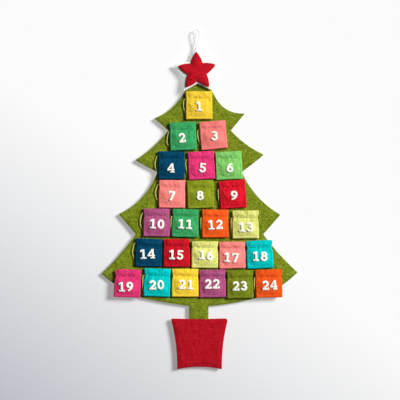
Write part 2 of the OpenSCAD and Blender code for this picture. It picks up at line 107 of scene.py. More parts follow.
def size(name, about, mm):
    return bpy.props.FloatProperty(
        name=name, description=about, default=mm * MM, min=0, subtype="DISTANCE", unit="LENGTH")


def share(name, about, value):
    return bpy.props.FloatProperty(
        name=name, description=about, default=value, min=0, max=1, subtype="FACTOR")


class CalendarColours(bpy.types.PropertyGroup):
    """Colours of the felts, threads and cords"""
    yellow_felt: colour("yellow_felt", "Felt of pouches 1 and 21")
    green_felt: colour("green_felt", "Felt of pouches 2 and 11")
    coral_felt: colour("coral_felt", "Felt of pouches 3, 7 and 17")
    navy_felt: colour("navy_felt", "Felt of pouches 4 and 14")
    magenta_felt: colour("magenta_felt", "Felt of pouches 5 and 19")
    leaf_felt: colour("leaf_felt", "Felt of pouch 6")
    olive_felt: colour("olive_felt", "Felt of pouches 8 and 23")
    red_felt: colour("red_felt", "Felt of the star, the pot and pouches 9 and 15")
    plum_felt: colour("plum_felt", "Felt of pouches 10 and 22")
    orange_felt: colour("orange_felt", "Felt of pouches 12 and 24")
    lime_felt: colour("lime_felt", "Felt of pouches 13 and 16")
    turquoise_felt: colour("turquoise_felt", "Felt of pouches 18 and 20")
    cream_felt: colour("cream_felt", "Felt of the numbers and of the star's backing")
    tree_felt: colour("tree_felt", "Felt of the tree")
    wadding: colour("wadding", "Stiff interlining inside the tree")
    drawstring_cord: colour("drawstring_cord", "Twisted cord of the drawstrings")
    loop_cord: colour("loop_cord", "Twisted cord of the hanging loop")
    tack_thread: colour("tack_thread", "Thread that holds the pouches to the tree")


class CalendarSizes(bpy.types.PropertyGroup):
    """Sizes of the felt pieces, the stitches and the cords"""
    pouch_w: size("Pouch width", "Width of a pouch over its seams", 74.5)
    pouch_h: size("Pouch height", "Height of a pouch from mouth to bottom edge", 78)
    pouch_felt: size("Pouch felt", "Thickness of the pouch felt", 1.7)
    seam: size("Seam margin", "Distance of a pouch's seam from its sides", 5.6)
    hem: size("Bottom margin", "Distance of a pouch's seam from its bottom edge", 8)
    edge: size("Edge depth", "Depth of a pouch at its turned-in edges", 6.8)
    belly: size("Belly depth", "Depth of a filled pouch", 11.5)
    mouth: size("Mouth depth", "Depth of a pouch at its mouth", 9)
    neck: size("Neck depth", "Depth of a pouch at its drawn neck", 6.8)
    neck_drop: size("Neck drop", "Drop from a pouch's mouth to its neck", 20.5)
    neck_draw: size("Neck draw", "How far the neck is drawn in at each side", 1.5)
    figure_felt: size("Number felt", "Thickness of the number felt", 2.8)
    tree_felt: size("Tree felt", "Thickness of the tree's panels", 2.5)
    star_felt: size("Star felt", "Thickness of the star's felts", 2)
    pot_felt: size("Pot felt", "Thickness of the pot's felts", 2.5)
    pot_margin: size("Pot margin", "Distance of the pot's seam from its edge", 5)
    star_margin: size("Star margin", "Distance of the star's seam from its edge", 2.6)
    stitch: size("Stitch", "Length of a stitch", 3)
    stitch_gap: size("Stitch gap", "Space between stitches", 1.5)
    thread: size("Thread", "Thickness of the sewing thread", 0.55)
    drawstring: size("Drawstring", "Diameter of the drawstrings", 2.4)
    loop: size("Loop cord", "Diameter of the hanging loop's cord", 3)


class CalendarStage(bpy.types.PropertyGroup):
    """Wall, floor, light and camera"""
    wall_gap: size("Wall gap", "Space between the tree's back and the wall", 6.5)
    floor_drop: size("Floor drop", "Height of the pot above the floor", 350)
    frame_width: size("Frame width", "Width of wall that the picture shows", 1120)
    camera_range: size("Camera distance", "Distance of the camera from the tree", 4000)
    key: bpy.props.FloatProperty(
        name="Key light", description="Strength of the soft key light", default=4.5, min=0)
    fill: share("Fill light", "Strength of the light all round", 0.11)


def mm(name):
    """A size of the settings in millimetres."""
    return getattr(bpy.context.scene.calendar_sizes, name) / MM


def slot_colour(slot):
    return tuple(getattr(bpy.context.scene.calendar_colours, slot))


# Outlines: arrays of [x, z] points, anticlockwise from the front, with clockwise holes

# Points this close in depth lie on one flat face
LEVEL = 0.02
# A mitre is no longer than this, and what it is divided by no less than this
MITRE_LIMIT, MITRE_LEAST = 2.2, 0.05
SOFT_PASSES = 5
# A net's rows are this share of its spacing apart, and its loose points this share or more from an edge
UP_ROW, NET_CLEAR = math.sqrt(3) / 2, 0.6
# Points of a net this close become one
NET_MERGE = 1e-5


def node_triangles(node):
    """A CAD node's points in millimetres, with doubled corners merged, and its triangles."""
    mesh = frame["nodes"][node].data
    mesh.calc_loop_triangles()
    points = np.array([v.co for v in mesh.vertices]) / MM
    merged, index = np.unique(np.round(points, 3), axis=0, return_inverse=True)
    index = index.ravel()
    return merged, [[index[v] for v in t.vertices] for t in mesh.loop_triangles]


def flat_loops(node, front=True):
    """The outlines of a CAD node's foremost or rearmost flat faces, the largest first."""
    points, triangles = node_triangles(node)
    depth = points[:, 1]
    level = np.abs(depth - (depth.min() if front else depth.max())) < LEVEL
    edges = set()
    for t in triangles:
        if level[t].all():
            for a, b in zip(t, t[1:] + t[:1]):
                if (b, a) in edges:
                    edges.remove((b, a))
                else:
                    edges.add((a, b))
    follow = dict(edges)
    loops = []
    while follow:
        start, at = follow.popitem()
        loop = [start]
        while at != start:
            loop.append(at)
            at = follow.pop(at)
        loops.append(points[loop][:, [0, 2]])
    loops.sort(key=lambda loop: -abs(area(loop)))
    return loops if area(loops[0]) > 0 else [loop[::-1] for loop in loops]


def area(loop):
    x, z = loop.T
    return 0.5 * float(np.sum(x * np.roll(z, -1) - np.roll(x, -1) * z))


def mitres(loop):
    """At each point of an outline, the way inwards that moves both its edges in by one."""
    along = np.roll(loop, -1, 0) - loop
    along = along / np.linalg.norm(along, axis=1)[:, None]
    ahead = np.column_stack([-along[:, 1], along[:, 0]])
    behind = np.roll(ahead, 1, 0)
    way = (ahead + behind) / np.maximum(1 + np.sum(ahead * behind, 1), MITRE_LEAST)[:, None]
    longer = np.maximum(np.linalg.norm(way, axis=1) / MITRE_LIMIT, 1)
    return way / longer[:, None]


def inset(loop, distance):
    return loop + distance * mitres(loop)


def refined(loop, step):
    """An outline with points about step apart on its edges, and all its corners."""
    made = []
    for a, b in zip(loop, np.roll(loop, -1, 0)):
        n = max(1, round(np.linalg.norm(b - a) / step))
        made += [a + (b - a) * k / n for k in range(n)]
    return np.array(made)


def smoothed(loop, passes):
    """An outline whose points have moved towards their neighbours."""
    for _ in range(passes):
        loop = 0.25 * np.roll(loop, 1, 0) + 0.5 * loop + 0.25 * np.roll(loop, -1, 0)
    return loop


def softened(loop, radius):
    """An outline with its corners rounded off, as scissors and wear leave them."""
    return smoothed(refined(loop, radius / 3), SOFT_PASSES)


def thinned(loop, step):
    """An outline with only points that are at least step apart."""
    kept = [loop[0]]
    for p in loop[1:]:
        if np.linalg.norm(p - kept[-1]) >= step:
            kept.append(p)
    return np.array(kept)


def inside(points, loops):
    """Which points lie in the outlines and out of their holes."""
    x, z = points[:, :1], points[:, 1:]
    crossings = np.zeros(len(points), int)
    for loop in loops:
        a, b = loop, np.roll(loop, -1, 0)
        rise = np.where(b[:, 1] == a[:, 1], 1e-9, b[:, 1] - a[:, 1])
        spans = (a[:, 1] > z) != (b[:, 1] > z)
        at = a[:, 0] + (z - a[:, 1]) * (b[:, 0] - a[:, 0]) / rise
        crossings += np.sum(spans & (x < at), axis=1)
    return crossings % 2 == 1


def from_edge(points, loops):
    """Each point's distance from the nearest outline."""
    best = np.full(len(points), np.inf)
    for loop in loops:
        a, d = loop, np.roll(loop, -1, 0) - loop
        off = points[:, None, :] - a[None]
        t = np.clip(np.sum(off * d, 2) / np.maximum(np.sum(d * d, 1), 1e-12), 0, 1)
        best = np.minimum(best, np.linalg.norm(off - t[..., None] * d, axis=2).min(1))
    return best


def filled(loops, spacing, guides=()):
    """An even net of triangles in outlines, which also follows guide lines inside them: its points, its
    triangles, and for each outline where its points went."""
    rings = [*loops, *guides]
    low, high = np.vstack(loops).min(0), np.vstack(loops).max(0)
    net = np.array([
        (x + (k % 2) * spacing / 2, z)
        for k, z in enumerate(np.arange(low[1], high[1], spacing * UP_ROW))
        for x in np.arange(low[0], high[0], spacing)])
    net = net[inside(net, loops)]
    net = net[from_edge(net, rings) > spacing * NET_CLEAR]
    edges = []
    first = 0
    for ring in rings:
        edges += [(first + k, first + (k + 1) % len(ring)) for k in range(len(ring))]
        first += len(ring)
    made = delaunay_2d_cdt([Vector(p) for p in np.vstack([*rings, net])], edges, [], 1, NET_MERGE)
    points = np.array([tuple(p) for p in made[0]])
    place = {i: k for k, sources in enumerate(made[3]) for i in sources}
    triangles = np.array(made[2])
    triangles = triangles[inside(points[triangles].mean(1), loops)]
    starts = np.cumsum([0] + [len(loop) for loop in loops])
    return points, triangles, [[place[s + k] for k in range(len(l))] for s, l in zip(starts, loops)]


# Felt solids: points [x, y, z] with y from front to back

def raised(places, depth):
    """Points [x, y, z] at [x, z] places, at one depth or at each place's own."""
    return np.column_stack([places[:, 0], np.broadcast_to(depth, len(places)), places[:, 1]])


class Felt:
    """A closed felt panel with a rounded cut edge. Its first count points are the front face."""
    RIM = (-45, 0, 45)
    ROUNDNESS = 0.45

    def __init__(self, loops, thickness, spacing, guides=()):
        edge, half = thickness * self.ROUNDNESS, thickness / 2
        flat, triangles, rings = filled([inset(loop, edge) for loop in loops], spacing, guides)
        self.count, self.loops = len(flat), loops
        layers = [(flat, -half), (flat, half)]
        faces = [tuple(t) for t in triangles]
        faces += [tuple(t[::-1] + self.count) for t in triangles]
        total = 2 * self.count
        for loop, ring in zip(loops, rings):
            n = len(loop)
            levels = [ring]
            for turn in map(math.radians, self.RIM):
                layers.append((inset(loop, edge * (1 - math.cos(turn))), half * math.sin(turn)))
                levels.append(range(total, total + n))
                total += n
            levels.append([k + self.count for k in ring])
            for a, b in zip(levels, levels[1:]):
                faces += [(a[k], b[k], b[(k + 1) % n], a[(k + 1) % n]) for k in range(n)]
        self.points = np.vstack([raised(p, y) for p, y in layers])
        self.faces = faces

    def flat_area(self):
        return sum(area(loop) for loop in self.loops) * MM * MM


# Cloth is simulated 20 times as large as it is
SIM_SCALE = 20 * MM
SIM_FRAMES = 18
CLOTH = {
    "quality": 6, "mass": 0.4, "air_damping": 2, "tension_stiffness": 18, "compression_stiffness": 18,
    "shear_stiffness": 10, "bending_stiffness": 2.5, "use_pressure": True}


def swollen(points, faces, held, pressure, growth, gravity=0.0, pressed=None):
    """Points after a cloth simulation: held points stay, the felt grows by a share and is blown out."""
    mesh = bpy.data.meshes.new("swelling")
    mesh.from_pydata(points * SIM_SCALE, [], faces)
    mesh.update()
    cloth = bpy.data.objects.new("swelling", mesh)
    bpy.context.scene.collection.objects.link(cloth)
    if pressed is None:
        pressed = np.ones(len(points))
    for name, weights in (("held", held), ("pressed", pressed)):
        group = cloth.vertex_groups.new(name=name)
        for k, weight in enumerate(weights):
            if weight > 0:
                group.add([k], float(weight), "REPLACE")
    modifier = cloth.modifiers.new("Cloth", "CLOTH")
    cut = modifier.settings
    for name, value in CLOTH.items():
        setattr(cut, name, value)
    cut.vertex_group_mass = "held"
    cut.shrink_min = -growth
    cut.uniform_pressure_force = pressure
    cut.vertex_group_pressure = "pressed"
    cut.effector_weights.gravity = gravity
    modifier.collision_settings.use_collision = False
    modifier.point_cache.frame_start = 1
    modifier.point_cache.frame_end = SIM_FRAMES
    for k in range(1, SIM_FRAMES + 1):
        bpy.context.scene.frame_set(k)
    done = cloth.evaluated_get(bpy.context.evaluated_depsgraph_get()).to_mesh()
    moved = np.array([v.co for v in done.vertices]) / SIM_SCALE
    bpy.data.objects.remove(cloth)
    bpy.data.meshes.remove(mesh)
    bpy.context.scene.frame_set(1)
    if not np.isfinite(moved).all():
        raise RuntimeError("the cloth simulation came apart")
    return moved


def wave(points, reach, seed):
    """A slow random wave over [x, z] places, from about -1 to 1."""
    return np.array([noise.noise((x / reach, z / reach, seed)) for x, z in points])


def smooth_step(t):
    t = np.clip(t, 0, 1)
    return t * t * (3 - 2 * t)


# Objects

def placed(points, place, unit=1):
    """Points moved by a matrix in metres. The unit is the points' own, in metres."""
    turn = np.array(place)
    return points @ turn[:3, :3].T + turn[:3, 3] / unit


def made_object(name, points, faces, materials, place=None):
    """A smooth mesh object from points in millimetres, placed by a matrix in metres."""
    points = np.asarray(points) * MM
    if place is not None:
        points = placed(points, place)
    mesh = bpy.data.meshes.new(name)
    mesh.from_pydata(points, [], faces)
    tidy = bmesh.new()
    tidy.from_mesh(mesh)
    bmesh.ops.recalc_face_normals(tidy, faces=tidy.faces)
    tidy.to_mesh(mesh)
    tidy.free()
    mesh.shade_smooth()
    for material in materials:
        mesh.materials.append(material)
    made = bpy.data.objects.new(name, mesh)
    bpy.context.scene.collection.objects.link(made)
    return made


def joined(parts):
    """Several (points, faces) as one."""
    points, faces = [], []
    total = 0
    for p, f in parts:
        points.append(p)
        faces += [tuple(k + total for k in face) for face in f]
        total += len(p)
    return np.vstack(points), faces


def fitted(piece, body, slot, *nodes):
    """The piece rides on a body and stands for CAD nodes, which it hides. Its slot is not used."""
    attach(piece, body)
    if nodes:
        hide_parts(*nodes)


# A tack's place below its pouch's mouth and behind its pouch's back, its size, its points and its winding
TACK_DROP, TACK_BEHIND = 1.5, 1.5
TACK_LENGTH, TACK_RADIUS = 16, 1.45
TACK_POINTS = 41
TACK_PLIES, TACK_TURN = 4, 0.9


def pouch_place(pouch):
    """A pouch's own frame in metres: x along its mouth, y to the wall, z up, from its mouth's back."""
    joint = next(j for j in frame["joints"] if j["child"] == pouch)
    right = -Vector(joint["axis"])
    up = Vector((-right.z, 0, right.x))
    place = Matrix((right, (0, 1, 0), up)).transposed().to_4x4()
    place.translation = Vector(joint["pos_m"]) + up * TACK_DROP * MM
    place.translation.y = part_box(pouch)[1].y
    return place


# Cords and threads

# Points on each stretch of a route, and a way that no cord starts along
PATH_STEPS = 12
ASKEW = (0.2, 1, 0.1)
# Sides and plies of a cord, the depth of its furrows as a share of its radius, and its twist in diameters
CORD_SIDES, CORD_PLIES = 12, 3
FURROW = 0.26
CORD_TURN = 3.2
# A stitch: how far along, how far out in thread thicknesses, and how thick it is there
STITCH_BEND = ((0, -0.7, 0.55), (0.18, 0.15, 1), (0.5, 0.4, 1.05), (0.82, 0.15, 1), (1, -0.7, 0.55))
STITCH_SIDES = 6


def steps(line):
    """The distances from point to point of a line."""
    return np.linalg.norm(np.diff(line, axis=0), axis=1)


def reached(line):
    """How far along a line each of its points is."""
    return np.concatenate([[0], np.cumsum(steps(line))])


def points_at(line, along, at):
    """Places on a line whose points are so far along it."""
    return np.column_stack([np.interp(at, along, line[:, k]) for k in range(3)])


def smooth_path(route, step):
    """Points about step apart on a smooth curve through a route."""
    route = np.array(route, float)
    ends = np.vstack([2 * route[0] - route[1], route, 2 * route[-1] - route[-2]])
    t = np.linspace(0, 1, PATH_STEPS, endpoint=False)[:, None]
    fine = []
    for a, b, c, d in zip(ends, ends[1:], ends[2:], ends[3:]):
        fine.append(0.5 * (2 * b + (c - a) * t + (2 * a - 5 * b + 4 * c - d) * t ** 2
                           + (3 * b - a - 3 * c + d) * t ** 3))
    fine = np.vstack([*fine, route[-1:]])
    along = reached(fine)
    at = np.linspace(0, along[-1], max(2, math.ceil(along[-1] / step) + 1))
    return points_at(fine, along, at)


def round_angles(sides):
    return 2 * math.pi * np.arange(sides) / sides


def spokes(angle, across, beside):
    """The ways out from a line at angles round it."""
    return np.cos(angle)[:, None] * across + np.sin(angle)[:, None] * beside


def tube_faces(rings, sides):
    """Faces of a closed tube of so many rings."""
    faces = [
        (k * sides + j, k * sides + (j + 1) % sides, (k + 1) * sides + (j + 1) % sides, (k + 1) * sides + j)
        for k in range(rings - 1) for j in range(sides)]
    return faces + [tuple(range(sides))[::-1], tuple(range((rings - 1) * sides, rings * sides))]


def twisted_cord(line, diameter, plies=CORD_PLIES, turn=CORD_TURN):
    """A cord of twisted plies along a line: points and faces. It turns once in turn diameters."""
    tangents = np.gradient(line, axis=0)
    tangents /= np.linalg.norm(tangents, axis=1)[:, None]
    across = np.cross(tangents[0], ASKEW)
    angle = round_angles(CORD_SIDES)
    rings = []
    gone = 0
    for k, (centre, along) in enumerate(zip(line, tangents)):
        across = across - along * (across @ along)
        across /= np.linalg.norm(across)
        if k:
            gone += np.linalg.norm(centre - line[k - 1])
        lobes = np.abs(np.cos(plies / 2 * (angle - 2 * math.pi * gone / (turn * diameter))))
        radius = diameter / 2 * (1 - FURROW + FURROW * lobes)
        rings.append(centre + radius[:, None] * spokes(angle, across, np.cross(along, across)))
    return np.vstack(rings), tube_faces(len(line), CORD_SIDES)


def stitches(line, out, closed=False):
    """Running stitches along a line on a surface that faces out: points and faces."""
    if closed:
        line = np.vstack([line, line[:1]])
    length, gap, thick = mm("stitch"), mm("stitch_gap"), mm("thread")
    along = reached(line)
    out = np.array(out, float)
    angle = round_angles(STITCH_SIDES)
    faces = tube_faces(len(STITCH_BEND), STITCH_SIDES)
    parts = []
    for start in np.arange(gap / 2, along[-1] - length, length + gap):
        centres = points_at(line, along, [start + t * length for t, _, _ in STITCH_BEND])
        way = centres[-1] - centres[0]
        way /= np.linalg.norm(way)
        around = spokes(angle, out, np.cross(way, out))
        rings = [centre + out * lift * thick + thick / 2 * girth * around
                 for centre, (_, lift, girth) in zip(centres, STITCH_BEND)]
        parts.append((np.vstack(rings), faces))
    return joined(parts)


# Materials

class Nodes:
    """The node tree of a new material or world, with short ways to add and join nodes."""

    def __init__(self, owner):
        owner.use_nodes = True
        self.owner, self.tree = owner, owner.node_tree
        self.tree.nodes.clear()

    def put(self, socket, value):
        if isinstance(value, bpy.types.NodeSocket):
            self.tree.links.new(value, socket)
        else:
            socket.default_value = value

    def add(self, kind, **values):
        """A node with values or sockets for its inputs, and its settings."""
        made = self.tree.nodes.new("ShaderNode" + kind)
        for name, value in values.items():
            socket = made.inputs.get(name.replace("_", " "))
            if socket is None:
                setattr(made, name, value)
            else:
                self.put(socket, value)
        return made

    def maths(self, operation, *parts):
        made = self.add("Math", operation=operation)
        for socket, part in zip(made.inputs, parts):
            self.put(socket, part)
        return made.outputs[0]

    def noise(self, where, scale, detail, roughness, distortion):
        made = self.add("TexNoise", Vector=where, Scale=scale, Detail=detail, Roughness=roughness,
                        Distortion=distortion)
        return made.outputs["Fac"]

    def ramp(self, factor, *stops):
        made = self.add("ValToRGB", Fac=factor)
        bar = made.color_ramp
        while len(bar.elements) < len(stops):
            bar.elements.new(0.5)
        for element, (place, shade) in zip(bar.elements, stops):
            element.position = place
            element.color = (*shade, 1)
        return made.outputs[0]

    def blend(self, made, *shaders):
        """Joins shaders to a node's shader inputs, in order."""
        sockets = [socket for socket in made.inputs if socket.type == "SHADER"]
        for socket, shader in zip(sockets, shaders):
            self.put(socket, shader.outputs[0])
        return made

    def done(self, shader, kind="Material"):
        self.add("Output" + kind, Surface=shader.outputs[0])
        return self.owner


# Noises that felt and thread are made of: scale, detail, roughness and distortion
CLOUD = (45, 2, 0.5, 0)
BLOTCH = (260, 3, 0.55, 1.2)
GRAIN = (420, 3, 0.6, 0)
HAIR = (1, 1, 0.5, 0.8)
# Thread's two noises without their scale, the coarser one's share of the mix, and how much coarser it is
STRAND, SLUB = (4, 0.65, 1), (2, 0.5, 0)
SLUB_SHARE, SLUB_COARSER = 0.45, 9
# The hairs lie at these turns, in degrees, and have this size in metres
HAIR_TURNS = (25, 80, 140)
HAIR_SIZE = (0.0007, 0.0012, 0.005)
# Shares of blotches, grain and hairs in a felt's dye, and of grain and blotches in its nap
DYE_MIX = (0.44, 0.34, 0.22)
NAP_GRAIN, NAP_BLOTCH = 0.6, 0.5
# The mix of a felt's middle shade, and how far off its dark and light shades are
FELT_LEVEL, FELT_SPREAD = 0.51, 0.12
# How much darker and fuller a felt's dark stop is, as painted shade between its fibres, and how much lighter
# and paler its light stop is, as painted light on them; the noise that picks between them is the dye's random
# unevenness
DEEPER, FULLER = 0.22, 0.1
LIGHTER, PALER = 0.33, 0.008
# How strongly most felts are mottled, and how cloudy they are
MOTTLE, CLOUDY = 1.75, 0.1
# Roughness by hair or strand: its rise and its least value
FELT_ROUGH, THREAD_ROUGH = (0.12, 0.84), (0.2, 0.7)
FELT_BUMP = {"Strength": 0.5, "Distance": 0.0009}
THREAD_BUMP = {"Strength": 0.5, "Distance": 0.0004}
FELT_SKIN = {"Specular_IOR_Level": 0.02, "Sheen_Weight": 0.12, "Sheen_Roughness": 0.5}
THREAD_SKIN = {"Specular_IOR_Level": 0.08}
# The fineness of thread and cord, and their dark, middle and light stops with the shade's factors
THREAD_FINE, CORD_FINE = 1500, 1100
THREAD_STOPS = (0.36, 0.5, 0.64)
THREAD_DARK, THREAD_LIGHT = 0.66, (1.15, 0.01)
# Shades of the cords and the threads against their colours in the settings: the drawstrings are lightened as
# painted light, standing in for light they lose beside the pouches, and the loop is made whiter
CORD_TONES = {"drawstring_cord": 1.1, "loop_cord": 1.25, "tack_thread": 1.0}
TREE_THREAD, RED_THREAD, POUCH_THREAD = 0.8, 0.6, 0.9


def shaded(shade, by, pale=0.0):
    """A colour made darker or lighter by a factor, and paler by a share."""
    return tuple(min(1, c * by) * (1 - pale) + pale for c in shade)


def felt_material(slot, mottle=MOTTLE, by=1.0, cloudy=CLOUDY):
    """Pressed wool felt: fine uneven dye with painted shade and light on its fibres, crossing hairs and a
    matt nap.
    """
    name = slot.replace("_felt", "") + f"_wool_{round(mottle * 100)}_{round(by * 100)}"
    if name in bpy.data.materials:
        return bpy.data.materials[name]
    shade = shaded(slot_colour(slot), by)
    n = Nodes(bpy.data.materials.new(name))
    where = n.add("TexCoord").outputs["Object"]
    cloud, blotch, grain = (n.noise(where, *kind) for kind in (CLOUD, BLOTCH, GRAIN))
    hair = laid_hairs(n, where, HAIR_TURNS[0])
    for turn in HAIR_TURNS[1:]:
        hair = n.maths("MAXIMUM", hair, laid_hairs(n, where, turn))
    mixed = n.maths("MULTIPLY", cloud, cloudy)
    for part, weight in zip((blotch, grain, hair), DYE_MIX):
        mixed = n.maths("MULTIPLY_ADD", part, weight * (1 - cloudy), mixed)
    # Painted shade and light: the dark stop is darker and fuller, the light stop lighter and paler
    dark = tuple((1 - DEEPER * mottle) * c ** (1 + FULLER * mottle) for c in shade)
    light = shaded(shade, 1 + LIGHTER * mottle, PALER)
    base = n.ramp(
        mixed, (FELT_LEVEL - FELT_SPREAD, dark), (FELT_LEVEL, shade), (FELT_LEVEL + FELT_SPREAD, light))
    nap = n.maths("MULTIPLY_ADD", grain, NAP_GRAIN, hair)
    nap = n.maths("MULTIPLY_ADD", blotch, NAP_BLOTCH, nap)
    skin = n.add(
        "BsdfPrincipled", Base_Color=base, Roughness=n.maths("MULTIPLY_ADD", hair, *FELT_ROUGH),
        Normal=n.add("Bump", Height=nap, **FELT_BUMP).outputs["Normal"], Sheen_Tint=(*shade, 1), **FELT_SKIN)
    return n.done(skin)


def laid_hairs(n, where, turn):
    """Fine hairs that lie one way."""
    lie = n.add("Mapping", vector_type="TEXTURE", Vector=where, Rotation=(0, math.radians(turn), 0),
                Scale=HAIR_SIZE).outputs[0]
    return n.noise(lie, *HAIR)


def thread_material(name, shade, scale):
    """Spun thread or cord: fine hairy strands with darker furrows."""
    if name in bpy.data.materials:
        return bpy.data.materials[name]
    n = Nodes(bpy.data.materials.new(name))
    where = n.add("TexCoord").outputs["Object"]
    strand = n.noise(where, scale, *STRAND)
    slub = n.noise(where, scale / SLUB_COARSER, *SLUB)
    mixed = n.maths("MULTIPLY_ADD", slub, SLUB_SHARE, n.maths("MULTIPLY", strand, 1 - SLUB_SHARE))
    shades = (shaded(shade, THREAD_DARK), shade, shaded(shade, *THREAD_LIGHT))
    skin = n.add(
        "BsdfPrincipled", Base_Color=n.ramp(mixed, *zip(THREAD_STOPS, shades)),
        Roughness=n.maths("MULTIPLY_ADD", strand, *THREAD_ROUGH),
        Normal=n.add("Bump", Height=strand, **THREAD_BUMP).outputs["Normal"], **THREAD_SKIN)
    return n.done(skin)


def slot_thread(slot, by):
    """Sewing thread dyed to match a felt."""
    name = slot.replace("felt", f"thread_{round(by * 100)}")
    return thread_material(name, shaded(slot_colour(slot), by), THREAD_FINE)


def cord_material(slot):
    return thread_material(f"spun_{slot}", shaded(slot_colour(slot), CORD_TONES[slot]), CORD_FINE)


# Stage

# Middle of the picture, [x, z], and the camera's sensor in millimetres and reach in metres
VIEW_MIDDLE = (9.8, -476)
SENSOR, CLIP_END = 36, 50
# Half width of the wall and the floor, half depth of the floor and top of the wall, in metres
HALF_WIDE, HALF_DEEP, WALL_TOP = 6, 8, 5
# Where the light comes from, its spread in degrees, and the back light's share of the key light
KEY_FROM = (1.1, -1, 0.58)
BACK_FROM = (-0.3, 1, 0.5)
LIGHT_SPREAD = 20
BACK_SHARE = 0.75
BACKGROUND_LEVEL = 0.92
# The wall is painted with shade that runs from a grey lower left to a white upper right
GRADIENT = (0.335, 0.5, 1.239)
WALL_SHADES = (
    (0.5, (0.48, 0.497, 0.535)), (0.6, (0.578, 0.597, 0.638)), (0.83, (0.835, 0.842, 0.855)),
    (0.985, (0.982, 0.982, 0.982)))
# The floor is painted with shade too, a little darker towards the left
FLOOR_SHADES = ((0.0, (0.8, 0.81, 0.82)), (1.0, (0.9, 0.9, 0.905)))
# Shares of that shade that take the light and that glow for the camera
MATT_SHARE = (0.64, 0.64, 0.64, 1)
GLOW_SHARE = (0.34, 0.34, 0.34, 1)


class CALENDAR_OT_stage(bpy.types.Operator):
    """Sets up the camera, the wall, the floor and the light"""
    bl_idname = "calendar.stage"
    bl_label = "Set the stage"

    def execute(self, context):
        stage = context.scene.calendar_stage
        low, high = (Vector(c) for c in CAD_BOX)
        context.scene.view_settings.view_transform = "Standard"
        self.camera(context, stage)
        wall_y = high.y + stage.wall_gap
        floor_z = low.z - stage.floor_drop
        xs = (-HALF_WIDE, HALF_WIDE, HALF_WIDE, -HALF_WIDE)
        wall_zs = (floor_z, floor_z, WALL_TOP, WALL_TOP)
        floor_ys = (-HALF_DEEP, -HALF_DEEP, HALF_DEEP, HALF_DEEP)
        wall = self.plane("wall", [(x, wall_y, z) for x, z in zip(xs, wall_zs)], WALL_SHADES)
        floor = self.plane("floor", [(x, y, floor_z) for x, y in zip(xs, floor_ys)], FLOOR_SHADES)
        self.sun("key_light", KEY_FROM, stage.key)
        self.sun("back_light", BACK_FROM, stage.key * BACK_SHARE)
        self.surroundings(context, stage.fill)
        return {"FINISHED"}

    def camera(self, context, stage):
        lens = bpy.data.cameras.new("camera")
        lens.sensor_width = SENSOR
        lens.lens = lens.sensor_width * stage.camera_range / stage.frame_width
        lens.clip_end = CLIP_END
        camera = bpy.data.objects.new("camera", lens)
        camera.location = (VIEW_MIDDLE[0] * MM, -stage.camera_range, VIEW_MIDDLE[1] * MM)
        camera.rotation_euler = (math.pi / 2, 0, 0)
        context.scene.collection.objects.link(camera)
        context.scene.camera = camera

    def plane(self, name, corners, shades):
        """A painted plane that lights and shades nothing."""
        mesh = bpy.data.meshes.new(name)
        mesh.from_pydata(corners, [], [(0, 1, 2, 3)])
        mesh.materials.append(self.backdrop(f"{name}_paint", shades))
        made = bpy.data.objects.new(name, mesh)
        bpy.context.scene.collection.objects.link(made)
        made.visible_diffuse = made.visible_glossy = False
        made.visible_transmission = made.visible_shadow = False
        return made

    def backdrop(self, name, shades):
        """A matt backdrop, painted with shade along a gradient, that holds the shadow, glows a little for the
        camera and is clear from behind.
        """
        n = Nodes(bpy.data.materials.new(name))
        split = n.add("SeparateXYZ", Vector=n.add("TexCoord").outputs["Object"]).outputs
        # Painted shade: darker towards the left and the bottom of the wall, and towards the left of the floor
        way = n.maths("MULTIPLY", split["X"], GRADIENT[0])
        way = n.maths("MULTIPLY_ADD", split["Z"], GRADIENT[1], way)
        way = n.maths("ADD", way, GRADIENT[2])
        shade = n.ramp(way, *shades)
        matt, glow = (
            n.add("MixRGB", blend_type="MULTIPLY", Fac=1, Color1=shade, Color2=part).outputs[0]
            for part in (MATT_SHARE, GLOW_SHARE))
        seen = n.add("LightPath").outputs["Is Camera Ray"]
        light = n.add("Emission", Color=glow, Strength=seen)
        both = n.blend(n.add("AddShader"), n.add("BsdfDiffuse", Color=matt), light)
        behind = n.add("NewGeometry").outputs["Backfacing"]
        return n.done(n.blend(n.add("MixShader", Fac=behind), both, n.add("BsdfTransparent")))

    def sun(self, name, toward, strength):
        lamp = bpy.data.lights.new(name, "SUN")
        lamp.energy = strength
        lamp.angle = math.radians(LIGHT_SPREAD)
        made = bpy.data.objects.new(name, lamp)
        made.rotation_euler = (-Vector(toward)).to_track_quat("-Z", "Y").to_euler()
        bpy.context.scene.collection.objects.link(made)

    def surroundings(self, context, fill):
        """A dim light all round, which shows as a pale background."""
        n = Nodes(bpy.data.worlds.new("studio"))
        context.scene.world = n.owner
        rays = n.add("LightPath").outputs
        seen = n.maths("MAXIMUM", rays["Is Camera Ray"], rays["Is Glossy Ray"])
        seen = n.maths("MAXIMUM", seen, rays["Is Transmission Ray"])
        strength = n.add("MapRange", Value=seen, To_Min=fill, To_Max=BACKGROUND_LEVEL).outputs[0]
        n.done(n.add("Background", Color=(1, 1, 1, 1), Strength=strength), "World")


# Drawstrings and hanging loop

